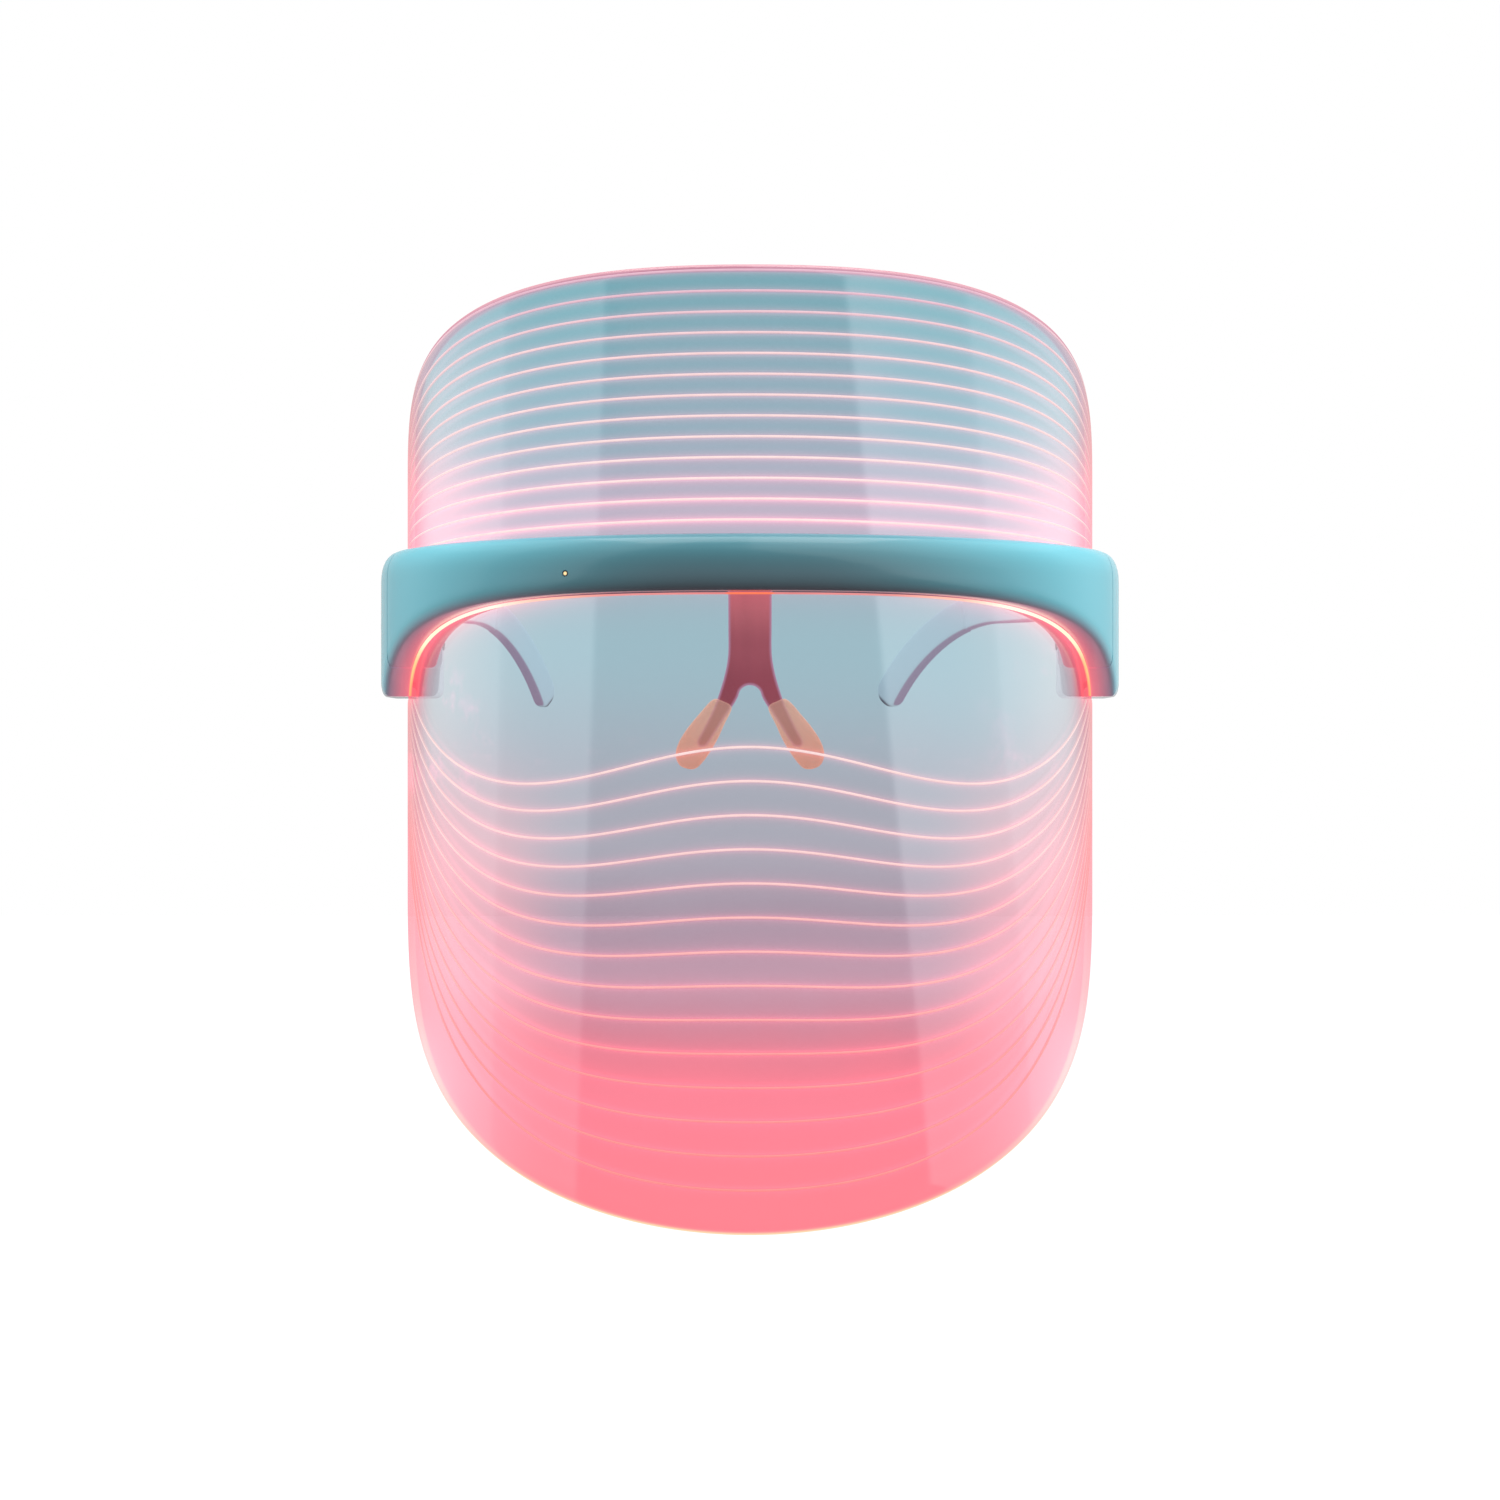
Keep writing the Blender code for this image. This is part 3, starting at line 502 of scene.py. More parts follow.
def sheet_material(name):
    """Clear tinted acrylic: the tint goes from blue-green to pink towards the chin, where the pink is
    painted glow, and its lines glow. Its flanks get a lighter tint, a painted reflection, and its rims a
    painted highlight.
    """
    m = Surface(name)
    run, z, share = m.run_and_height()
    cloud = m.math("SUBTRACT", m.noise(26.0, 3.0), 0.5)
    drift = m.linear(cloud, 0.04, share)
    # Tint by height. Its pink towards the chin is painted glow of the edge light.
    middle_tint_and_glow = m.by_height(
        drift,
        (-108, (0.74, 0.34, 0.40)),
        (-80, (0.76, 0.38, 0.45)),
        (-50, (0.71, 0.63, 0.71)),
        (-18, (0.77, 0.79, 0.85)),
        (25, (0.73, 0.885, 0.945)),
        (54, (0.79, 0.81, 0.89)),
        (80, (0.645, 0.79, 0.86)),
        (112, (0.525, 0.77, 0.83)),
    )
    # The flanks' tint is lighter: a painted reflection of the bright surround seen at a slant, with the
    # same painted pink glow low down.
    flank_tint_glow_and_reflection = m.by_height(
        drift,
        (-105, (0.90, 0.64, 0.70)),
        (-68, (0.92, 0.67, 0.74)),
        (-38, (0.94, 0.76, 0.82)),
        (20, (0.92, 0.96, 0.985)),
        (60, (0.92, 0.915, 0.955)),
        (85, (0.80, 0.92, 0.955)),
        (112, (0.70, 0.84, 0.90)),
    )
    upper_flank = m.times(m.span(run, 24.0, 42.0), m.span(z, 62.0, 80.0))
    middle_tint_and_glow = m.mix(upper_flank, middle_tint_and_glow, m.mix(1.0, middle_tint_and_glow, (0.91, 0.99, 0.99), "MULTIPLY"))
    tint = m.mix(m.span(run, 47.0, 102.0), middle_tint_and_glow, flank_tint_glow_and_reflection)
    tint = m.mix(m.span(run, 92.0, 113.0), tint, (0.95, 0.62, 0.68))
    top_rim = m.times(m.span(m.attribute("rim"), 2.0, 0.9), m.span(z, 70.0, 96.0))
    tint = m.mix(top_rim, tint, (0.66, 0.54, 0.64))
    glow = m.by_height(
        drift,
        (-112, (0.37, 0.110, 0.120)),
        (-84, (0.33, 0.095, 0.115)),
        (-58, (0.12, 0.035, 0.045)),
        (-38, (0.03, 0.008, 0.012)),
        (-15, (0.010, 0.002, 0.004)),
        (30, (0.0, 0.0, 0.0)),
        (55, (0.060, 0.010, 0.020)),
        (78, (0.010, 0.004, 0.006)),
        (112, (0.0, 0.0, 0.0)),
    )

    # Light round each line, more of it near the band
    phase = m.attribute("line")
    off = m.apart(m.math("FRACT", m.math("ADD", phase, 0.5)), 0.5)
    gap = m.times(off, m.attribute("pitch"))
    halo = m.math("POWER", math.e, m.times(gap, -1.5))
    halo = m.times(halo, m.attribute("lined"), m.span(run, 70.0, 112.0, 1.0, 0.15))
    close = m.linear(m.span(m.apart(z, 52.0), 22.0, 2.0), 0.8, 1.0)
    halo_glow = m.scaled((0.24, 0.035, 0.055), m.times(halo, close))

    # Light that leaves the band's slit, and pink blots beside the eyes
    slit = m.math("POWER", math.e, m.times(m.attribute("lip"), -0.42))
    slit = m.times(slit, m.span(run, 25.0, 88.0, 0.06, 1.0), m.span(z, 8.0, 16.0, 0.35, 1.0))
    slit_glow = m.scaled((0.55, 0.07, 0.08), slit)
    blot = m.times(m.span(m.noise(55.0, 5.0, 0.65), 0.56, 0.70), m.span(run, 52.0, 92.0))
    blot = m.times(blot, m.span(m.apart(z, 8.0), 30.0, 12.0))
    blot_glow = m.scaled((0.20, 0.02, 0.06), blot)

    # A painted highlight along the rims, made paler along the chin's rim; then the flanks and the warm
    # stretch above the band
    rim_painted_highlight = m.scaled((0.30, 0.12, 0.10), m.span(m.attribute("rim"), 1.1, 0.1))
    chin_highlight_mask = m.times(m.span(m.attribute("rim"), 0.9, 0.2), m.span(z, -45.0, -90.0))
    chin_painted_highlight = m.scaled((0.06, 0.28, 0.03), chin_highlight_mask)
    flank = m.times(m.span(run, 40.0, 66.0), m.span(z, 6.0, -34.0))
    flank_glow = m.scaled((0.14, 0.020, 0.015), m.times(flank, m.span(z, -100.0, -60.0, 0.3, 1.0)))
    warm = m.times(m.span(z, 84.0, 56.0), m.span(z, 48.0, 50.0), m.span(run, 55.0, 95.0))
    warm_glow = m.scaled((0.16, 0.012, 0.030), warm)
    total = m.added(glow, halo_glow, slit_glow, blot_glow, rim_painted_highlight, chin_painted_highlight, flank_glow, warm_glow)

    scuffs = m.noise(9.0, 6.0, 0.7, m.stretched((1.0, 1.0, 12.0)))
    milk = m.by_height(
        share,
        (-70, (0.40, 0.16, 0.19)),
        (-30, (0.13, 0.13, 0.15)),
        (0, (0.05, 0.08, 0.09)),
        (38, (0.05, 0.08, 0.09)),
        (52, (0.16, 0.24, 0.27)),
    )
    m.set(
        Base_Color=m.mix(top_rim, milk, (0.22, 0.12, 0.18)),
        Roughness=m.linear(scuffs, 0.07, 0.01),
        IOR=2.4,
        Specular_IOR_Level=0.9,
        Emission_Color=m.scaled(total, 1.0 / SHEET_COVER),
    )
    m.bump(m.noise(3.0, 1.0), 0.04, 0.001)
    m.see_through(SHEET_COVER, tint)
    return m.material


def line_material(name):
    """The cut lines, which pass the edge light outwards: nearly white near the lights, pink further off."""
    m = Surface(name)
    run, z, share = m.run_and_height()
    glow = m.by_height(
        share,
        (-105, (0.98, 0.27, 0.26)),
        (-80, (0.98, 0.29, 0.29)),
        (-48, (0.97, 0.46, 0.46)),
        (-20, (0.97, 0.66, 0.66)),
        (10, (0.98, 0.76, 0.74)),
        (60, (0.98, 0.77, 0.76)),
        (92, (0.94, 0.66, 0.68)),
        (112, (0.76, 0.46, 0.58)),
    )
    flank = m.mix(m.span(z, -35.0, -5.0), (0.98, 0.42, 0.40), (0.98, 0.68, 0.64))
    glow = m.mix(m.span(run, 84.0, 116.0, 0.0, 0.85), glow, flank)
    flicker = m.linear(m.noise(220.0, 2.0), 0.16, 0.92)
    m.set(
        Base_Color=(0.06, 0.04, 0.04),
        Roughness=0.5,
        Emission_Color=m.scaled(glow, flicker),
        Emission_Strength=0.96,
    )
    return m.material


def edge_light_material(name):
    """The slit of light under the band: amber to white where the strip bends down at the temples."""
    m = Surface(name)
    run = m.math("ABSOLUTE", m.attribute("flat", 0))
    glow = m.ramp(
        m.math("DIVIDE", run, END_CORNER),
        (0.0, (1.1, 0.22, 0.10)),
        (0.045, (1.1, 0.22, 0.10)),
        (0.055, (0.86, 0.26, 0.25)),
        (0.28, (0.86, 0.30, 0.29)),
        (0.46, (1.1, 0.58, 0.46)),
        (0.62, (1.2, 1.02, 0.86)),
        (0.84, (1.2, 1.02, 0.70)),
        (0.95, (1.2, 0.62, 0.26)),
        (1.0, (1.2, 0.45, 0.20)),
    )
    flicker = m.linear(m.noise(90.0, 2.0), 0.3, 0.85)
    m.set(
        Base_Color=(0.06, 0.03, 0.03),
        Roughness=0.5,
        Emission_Color=m.scaled(glow, flicker),
    )
    return m.material


def band_material(name, pale=False):
    """Glossy moulded plastic, with the slit's red light painted on where it faces the slit and in the slot.
    The blue-green one has painted shade, darker at the middle and towards its lower edge, and a painted
    mauve light on its underside by the slit; the pale one glows all over with painted light.
    """
    m = Surface(name)
    run = m.math("ABSOLUTE", m.attribute("flat", 0))
    z, out = m.attribute("flat", 1), m.attribute("flat", 2)
    near = m.math("SUBTRACT", 1.0, m.span(m.attribute("lip"), 0.25, 2.6))
    outwards = m.span(out, 1.0, BAND_OUT, 1.0, 0.10)
    stretch = m.times(m.span(run, 20.0, 92.0, 0.12, 1.0), m.span(run, 109.0, 118.0, 1.0, 0.10))
    red = m.times(near, outwards, stretch)
    in_slot = m.times(m.span(m.math("ABSOLUTE", out), 1.6, 1.35), m.span(run, 113.4, 112.8))
    red = m.math("MAXIMUM", red, m.times(in_slot, m.span(run, 80.0, 100.0)))
    speck = m.noise(900.0, 2.0)
    cloud = m.noise(30.0, 4.0)
    if pale:
        red = m.times(red, m.span(out, -3.6, -1.3))
        inside = m.span(out, -HOUSING_IN, -SLOT_HALF)
        base = m.mix(cloud, (0.21, 0.20, 0.22), (0.25, 0.24, 0.26))
        # Painted light: the pale housing glows all over, pinker towards the slot.
        glow = m.mix(inside, (0.58, 0.55, 0.59), (0.70, 0.46, 0.52))
    else:
        # Painted shade: darker at the middle, which faces the dim front, and towards the lower edge;
        # lighter towards the ends, which face the side lights.
        centre = m.mix(m.span(z, 37.5, 49.5), (0.130, 0.195, 0.230), (0.080, 0.280, 0.340))
        base = m.mix(m.span(run, 12.0, 92.0), centre, (0.115, 0.60, 0.73))
        base = m.mix(m.times(cloud, 0.12), base, (0.20, 0.42, 0.50))
        # Painted light: a mauve glow on the underside by the slit, where it would lie in shade.
        under = m.times(m.span(m.attribute("lip"), 4.4, 0.8), m.span(out, BAND_OUT, BAND_OUT - 2.4))
        under = m.times(under, stretch)
        glow = m.mix(under, (0.0, 0.0, 0.0), (0.15, 0.08, 0.12))
    m.set(
        Base_Color=m.mix(red, base, (0.75, 0.24, 0.30)),
        Roughness=m.linear(cloud, 0.10, 0.18),
        IOR=1.5,
        Specular_IOR_Level=0.4,
        Coat_Weight=0.35,
        Coat_Roughness=0.05,
        Emission_Color=m.mix(red, glow, (0.54, 0.14, 0.195)),
    )
    m.bump(m.math("ADD", m.times(speck, 0.3), m.noise(60.0, 2.0)), 0.06, 0.0004)
    return m.material


def plastic(name, colour, roughness=0.35, coat=0.0, depth=0.1):
    """Moulded plastic or rubber: slight colour drift, uneven polish and a fine moulded grain."""
    m = Surface(name)
    light = tuple(min(c * (1 + DRIFT), 1.0) for c in colour)
    dark = tuple(c * (1 - DRIFT) for c in colour)
    m.set(
        Base_Color=m.mix(m.noise(24.0, 4.0), dark, light),
        Roughness=m.linear(m.noise(70.0, 4.0), 0.18, roughness - 0.09),
        Coat_Weight=coat,
        Coat_Roughness=0.1,
    )
    m.bump(m.noise(700.0, 3.0), depth, 0.0002)
    return m


def bracket_material(name):
    """The nose bracket takes the red light of the strip above it, most of all near the band."""
    m = plastic(name, (0.10, 0.035, 0.045), roughness=0.30, coat=0.10)
    z = m.attribute("flat", 1)
    veins = m.noise(40.0, 4.0, 0.6, m.stretched((6.0, 1.0, 0.4)))
    glow = m.ramp(
        m.math("DIVIDE", z, 44.0),
        (0.10, (0.55, 0.085, 0.105)),
        (0.36, (0.72, 0.080, 0.110)),
        (0.55, (0.88, 0.120, 0.150)),
        (0.80, (1.30, 0.230, 0.250)),
    )
    glow = m.scaled(glow, m.linear(veins, 0.36, 0.82))
    edge = m.span(m.attribute("edge"), 0.75, 0.15, 0.0, 0.8)
    m.set(Emission_Color=m.mix(edge, glow, (1.15, 0.42, 0.58)))
    return m.material


def pad_material(name):
    """Soft clear silicone: peach where the light passes through it."""
    m = plastic(name, (0.80, 0.42, 0.30), roughness=0.42, depth=0.15)
    z = m.attribute("flat", 1)
    glow = m.mix(m.span(z, -4.0, 10.0), (1.30, 0.56, 0.34), (1.45, 0.71, 0.48))
    m.set(Emission_Color=glow)
    facing = m.add("LayerWeight", Blend=0.35).outputs["Facing"]
    cover = m.span(facing, 0.0, 1.0, 0.42, 0.85)
    m.see_through(cover, (1.0, 0.80, 0.70, 1.0))
    return m.material


def arm_material(name, roughness, coat, depth):
    """Pale plastic with painted light, brighter on its inner face than its outer one. Its lower edge is
    mauve, painted shade with a red tinge, and its very end is dark, a painted shadow.
    """
    m = plastic(name, (0.23, 0.24, 0.26), roughness=roughness, coat=coat, depth=depth)
    # Painted shade along the lower edge, mauve with reflected red.
    edge = m.span(m.attribute("flat", 1), -3.7, -4.3)
    # Painted shadow at the very end, where the tip rested on a surface.
    end = m.span(m.attribute("flat", 0), ARM_END - 2.0, ARM_END - 0.5)
    base = m.shader.inputs["Base Color"].links[0].from_socket
    # Painted light: the faces glow, brighter on the inner face than on the outer.
    outer = m.span(m.attribute("flat", 2), -0.3, 0.9)
    glow = m.mix(outer, (0.66, 0.66, 0.69), (0.37, 0.42, 0.46))
    glow = m.mix(edge, glow, (0.46, 0.22, 0.34))
    m.set(
        Base_Color=m.mix(m.math("MAXIMUM", edge, end), base, (0.12, 0.06, 0.09)),
        Emission_Color=m.mix(end, glow, (0.02, 0.02, 0.03)),
    )
    return m.material


def steel(name, colour=(0.62, 0.62, 0.64), roughness=0.3):
    """Brushed stainless steel with fine turning marks."""
    m = Surface(name)
    marks = m.noise(60.0, 5.0, 0.7, m.stretched((1.0, 1.0, 60.0)))
    dark = tuple(c * 0.8 for c in colour)
    m.set(
        Base_Color=m.mix(marks, dark, colour),
        Metallic=1.0,
        Roughness=m.linear(marks, 0.2, roughness - 0.1),
    )
    m.bump(marks, 0.15, 0.0001)
    return m.material


def board_material(name):
    """Solder-masked board with a printed pattern of tracks."""
    m = Surface(name)
    tracks = m.add(
        "TexBrick",
        Vector=m.coordinates(),
        Scale=220.0,
        Mortar_Size=0.03,
        Color1=(0.02, 0.20, 0.10, 1.0),
        Color2=(0.02, 0.25, 0.13, 1.0),
        Mortar=(0.30, 0.26, 0.10, 1.0),
    )
    m.set(Base_Color=tracks.outputs["Color"], Roughness=m.linear(m.noise(90.0), 0.2, 0.3))
    m.bump(tracks.outputs["Fac"], 0.3, 0.0001)
    return m.material


def indicator_material(name):
    """A small smoked lens with an amber light behind its middle."""
    m = plastic(name, (0.10, 0.24, 0.28), roughness=0.2, coat=0.5)
    centre = on_curve([(*LIGHT, BAND_OUT)])[0]
    apart = m.add("VectorMath")
    apart.operation = "DISTANCE"
    m.feed(apart.inputs[0], m.coordinates())
    apart.inputs[1].default_value = centre
    lit = m.span(apart.outputs["Value"], 0.0006, 0.00015)
    m.set(Emission_Color=m.scaled((1.5, 0.85, 0.25), lit))
    return m.material


def light_strip_material(name):
    """White flexible strip that glows red-orange through its phosphor."""
    m = plastic(name, (0.88, 0.85, 0.80), roughness=0.5)
    dots = m.noise(400.0, 1.0)
    m.set(Emission_Color=m.mix(dots, (0.9, 0.12, 0.10), (1.0, 0.35, 0.25)), Emission_Strength=0.8)
    return m.material


# ---- shields and their lines


def path_distance(points, path):
    """How far flat points lie from a path of straight stretches, in the plane of the first two axes."""
    points, path = np.asarray(points)[:, :2], np.asarray(path)
    low = np.full(len(points), 1e9)
    for start, end in zip(path[:-1], path[1:]):
        along = end - start
        share = np.clip(((points - start) @ along) / max(along @ along, 1e-9), 0.0, 1.0)
        low = np.minimum(low, np.linalg.norm(points - (start + share[:, None] * along), axis=1))
    return low


def rim_distance(flat, rim):
    """How far points lie from the sheet's free rim, a function of s."""
    run = HALF_SPAN * np.sin(np.linspace(-math.pi / 2, math.pi / 2, 361))
    return path_distance(flat, np.column_stack([run, rim(run)]))


def rim_round(edge, s, half):
    """How far the rim's rounding reaches up the sheet, which is further where its edge is steep."""
    inside = abs(s) <= HALF_SPAN - 0.1
    slope = (float(edge(s + 0.05)) - float(edge(s - 0.05))) / 0.1 if inside else 0.0
    return half * math.hypot(1.0, min(abs(slope), 6.0))


def sheet(name, lower, upper, rim, line, lines, columns=170, rows=46):
    """A curved sheet between two edges, with rounded rims, as vertical slices."""
    sections = []
    for u in np.linspace(-1.0, 1.0, columns):
        s = (HALF_SPAN - 0.003) * math.sin(math.pi / 2 * u)
        low, high = float(lower(s)), float(upper(s))
        into = max(abs(s) - (HALF_SPAN - HALF_THICK), 0.0)
        half = HALF_THICK * math.sqrt(max(1.0 - (into / HALF_THICK) ** 2, 0.002))
        room = (high - low) / 2 - 0.01
        top_round = min(rim_round(upper, s, half), room)
        low_round = min(rim_round(lower, s, half), room)
        up = np.linspace(low + low_round, high - top_round, rows)
        arc = np.linspace(0.0, math.pi, 9)[1:-1]
        loop = [(s, z, half) for z in up]
        loop += [(s, high - top_round + top_round * math.sin(a), half * math.cos(a)) for a in arc]
        loop += [(s, z, -half) for z in up[::-1]]
        loop += [(s, low + low_round - low_round * math.sin(a), -half * math.cos(a)) for a in arc]
        sections.append(loop)
    obj = loft(name, sections)
    flat = points_of(obj.data)
    first, last = line(flat[:, 0], 0.0), line(flat[:, 0], 1.0)
    pitch = (last - first) / (lines - 1)
    phase = (flat[:, 1] - first) / np.where(np.abs(pitch) < 0.05, 0.05, pitch)
    place_on(obj, on_curve)
    store(obj, "line", phase)
    store(obj, "pitch", np.abs(pitch))
    store(obj, "lined", ((phase > -0.5) & (phase < lines - 0.5)).astype(float))
    store(obj, "lip", lip_distance(flat))
    store(obj, "rim", rim_distance(flat, rim))
    return smooth(obj, 60.0)


def directions(path):
    step = np.gradient(path, axis=0)
    return step / np.linalg.norm(step, axis=1)[:, None]


def tube(path, radius, depth, sides=8):
    """Sections of a round bead along a flat path of (s, z) points, at the given n."""
    step = directions(path)
    across = np.column_stack([-step[:, 1], step[:, 0]])
    sections = []
    radii = np.broadcast_to(radius, len(path))
    for (s, z), (ds, dz), thick in zip(path, across, radii):
        ring = []
        for i in range(sides):
            angle = 2 * math.pi * i / sides
            reach = thick * math.cos(angle)
            ring.append((s + ds * reach, z + dz * reach, depth + thick * math.sin(angle)))
        sections.append(ring)
    return sections


def line_paths(line, lines, allowed, samples=321):
    """The stretch of each line that lies on the sheet."""
    paths = []
    run = (HALF_SPAN - 0.9) * np.sin(np.linspace(-math.pi / 2, math.pi / 2, samples))
    for i in range(lines):
        z = line(run, i / (lines - 1))
        path = np.column_stack([run, z])[allowed(run, z)]
        if len(path) > 8:
            paths.append(path)
    return paths


def make_shields():
    clear = sheet_material("tinted_acrylic")
    glow = line_material("glow_line")
    forehead = sheet("forehead_sheet", forehead_bottom, forehead_top, forehead_top, upper_line, UPPER_LINES)
    finish(forehead, clear, "frame", "shield_tint", "forehead_shield")
    face = sheet("face_sheet", chin_edge, face_top, chin_edge, lower_line, LOWER_LINES)
    finish(face, clear, "frame", "shield_tint", "face_shield")

    def on_forehead(s, z):
        return (z > BAND_TOP + 0.4) & (z < forehead_top(s) - 0.5)

    def on_face(s, z):
        return (z < np.minimum(SHOULDER - 0.2, band_bottom(s) - 0.3)) & (z > chin_edge(s) + 0.8)

    for name, line, lines, allowed in (
        ("forehead_lines", upper_line, UPPER_LINES, on_forehead),
        ("face_lines", lower_line, LOWER_LINES, on_face),
    ):
        groups = []
        for path in line_paths(line, lines, allowed):
            thin = np.clip((np.abs(path[:, 0]) - 80.0) / 36.0, 0.0, 1.0)
            groups.append(tube(path, LINE_RADIUS * (1.0 - 0.5 * thin), LINE_DEPTH))
        finish(smooth(place_on(loft(name, *groups), on_curve)), glow, "frame", None)


# ---- brow band and end housings


def corner(z, n, out_z, out_n, size_z, size_n, start, power=2.3, points=9):
    """A quarter superellipse from one side of a corner to the other, in (z, n)."""
    made = []
    for i in range(points):
        angle = math.pi / 2 * i / (points - 1)
        first, second = math.cos(angle) ** (2 / power), math.sin(angle) ** (2 / power)
        if start == "z":
            first, second = second, first
        made.append((z + out_z * (size_z * (first - 1.0)), n + out_n * (size_n * (second - 1.0))))
    return made


def bar_section(s, low, high, n_in, n_out, inner, outer_low, outer_high):
    """A closed (z, n) outline with its own rounding on each corner, as (size in z, size in n)."""
    tall, deep = high - low, n_out - n_in
    fit = min(1.0, 0.98 * tall / (outer_low[0] + outer_high[0]), 0.98 * tall / (2 * inner[0]))
    room = min(1.0, 0.98 * deep / (inner[1] + outer_low[1]), 0.98 * deep / (inner[1] + outer_high[1]))

    def size(pair):
        return pair[0] * fit, pair[1] * room

    points = corner(low, n_in, -1, -1, *size(inner), "z")
    points += corner(low, n_out, -1, 1, *size(outer_low), "n")
    points += corner(high, n_out, 1, 1, *size(outer_high), "z")
    points += corner(high, n_in, 1, -1, *size(inner), "n")
    return [(s, z, n) for z, n in points]


def stations(start, end, spacing, rear_round):
    """Places along the bar, closer together where its rear end rounds off."""
    straight = end - rear_round
    count = max(int(math.ceil((straight - start) / spacing)), 1)
    made = [(start + (straight - start) * i / count, 0.0) for i in range(count + 1)]
    for angle in np.linspace(0.0, math.pi / 2, 9)[1:]:
        if rear_round:
            made.append((straight + rear_round * math.sin(angle), rear_round * (1.0 - math.cos(angle))))
    return made


def bar(name, start, end, n_range, rounding, inset=0.0, rear_round=0.0, spacing=1.5):
    """A bar between the band's lower and upper edges, in flat space."""
    n_in, n_out = n_range
    sections = []
    for s, drawn_in in stations(start, end, spacing, rear_round):
        low, high = float(band_bottom(s)) + inset + drawn_in, BAND_TOP - inset - drawn_in
        inner, outer = n_in, n_out
        if n_out > -n_in:
            outer = n_out - 0.8 * drawn_in
        else:
            inner = n_in + 0.8 * drawn_in
        sections.append(bar_section(s, low, high, inner, outer, *rounding))
    return loft(name, sections)


def lip_distance(flat):
    """How far points lie from the band's lower edge, measured on the flat."""
    run = np.linspace(0.0, END_CORNER, 500)
    edge = np.column_stack([run, band_bottom(run)])
    edge = np.vstack([edge, [[END_REAR, END_BOTTOM]]])
    return path_distance(np.column_stack([np.abs(flat[:, 0]), flat[:, 1]]), edge)


def mirrored(obj, side):
    if side < 0:
        obj.data.transform(Matrix.Diagonal((-1, 1, 1, 1)))
        face_outwards(obj)
    return obj


def side_box(side, s_range, z_range, n_range):
    s0, s1 = sorted((side * s_range[0], side * s_range[1]))
    return box((s0, z_range[0], n_range[0]), (s1, z_range[1], n_range[1]))


def finish_shell(obj, material, *nodes):
    lip = lip_distance(points_of(obj.data))
    place_on(obj, on_curve)
    store(obj, "lip", lip)
    smooth(obj, 32.0)
    finish(obj, material, "frame", "band_shell", *nodes)


def make_band():
    gloss = band_material("band_gloss")
    front_rounding = ((0.3, 0.3), (4.2, 1.7), (7.6, 4.4))
    front = bar("front_shell", -BAND_REACH, BAND_REACH, (SLOT_HALF, BAND_OUT), front_rounding)
    past = (-BAND_REACH - 1, BAND_REACH + 1)
    hollow_rounding = ((0.2, 0.2), (1.2, 0.8), (3.0, 1.6))
    hollow = bar("hollow", *past, (0.3, BAND_OUT - 2.3), hollow_rounding, 2.2)
    hole = cylinder((*LIGHT, 0.0), LIGHT_RADIUS + 0.25, 2.0, BAND_OUT + 1.0, segments=32)
    finish_shell(cut(front, hollow, hole), gloss, "brow_front_cover")

    rear_rounding = ((2.2, 2.0), (0.3, 0.3), (0.3, 0.3))
    rear = bar("rear_shell", -BAND_REACH, BAND_REACH, (-BAND_IN, -SLOT_HALF), rear_rounding)
    hollow = bar("hollow", *past, (-3.6, -0.3), ((0.6, 0.6), (0.2, 0.2), (0.2, 0.2)), 1.6)
    pocket = box((-5.5, 36.0, -3.8), (5.5, 39.6, -1.0))
    finish_shell(cut(rear, hollow, pocket), gloss, "brow_rear_cover")

    pale = band_material("housing_pale", pale=True)
    for label, side in SIDES.items():
        make_end_cap(label, side, gloss)
        make_inner_housing(label, side, pale)


def end_shell(name, side, depths, rounding, hollow_depths, hollow_rounding, slot_depths):
    """A shell of an end housing: hollow, open to the band, and with a slot for the shield's edge."""
    shell = bar(name, END_START, END_REAR, depths, rounding, 0.0, REAR_ROUND, END_SPACING)
    hollow = bar("hollow", END_START - 2, END_REAR - WALL, hollow_depths, hollow_rounding, WALL)
    mirrored(shell, side)
    return cut(shell, mirrored(hollow, side), side_box(side, SLOT_RUN, SLOT_HEIGHTS, slot_depths))


def make_end_cap(label, side, gloss):
    rounding = ((0.1, 0.1), (4.2, 1.7), (7.6, 4.4))
    hollow_rounding = ((0.1, 0.1), (1.4, 1.4), (4.0, 1.8))
    depths, hollow_depths = (SEAM, BAND_OUT), (-1.0, BAND_OUT - WALL)
    name = f"end_cap_shell_{label}"
    cap = end_shell(name, side, depths, rounding, hollow_depths, hollow_rounding, (-1.0, SLOT_HALF))
    if label == "right":
        z, n = SOCKET
        tall, deep = SOCKET_HALF
        button = cylinder((*BUTTON, 0.0), BUTTON_RADIUS + GAP, 3.0, BAND_OUT + 2.0, segments=72)
        cut(cap, button, side_box(side, SOCKET_RUN, (z - tall, z + tall), (n - deep, n + deep)))
    finish_shell(cap, gloss, f"end_cap_{label}")


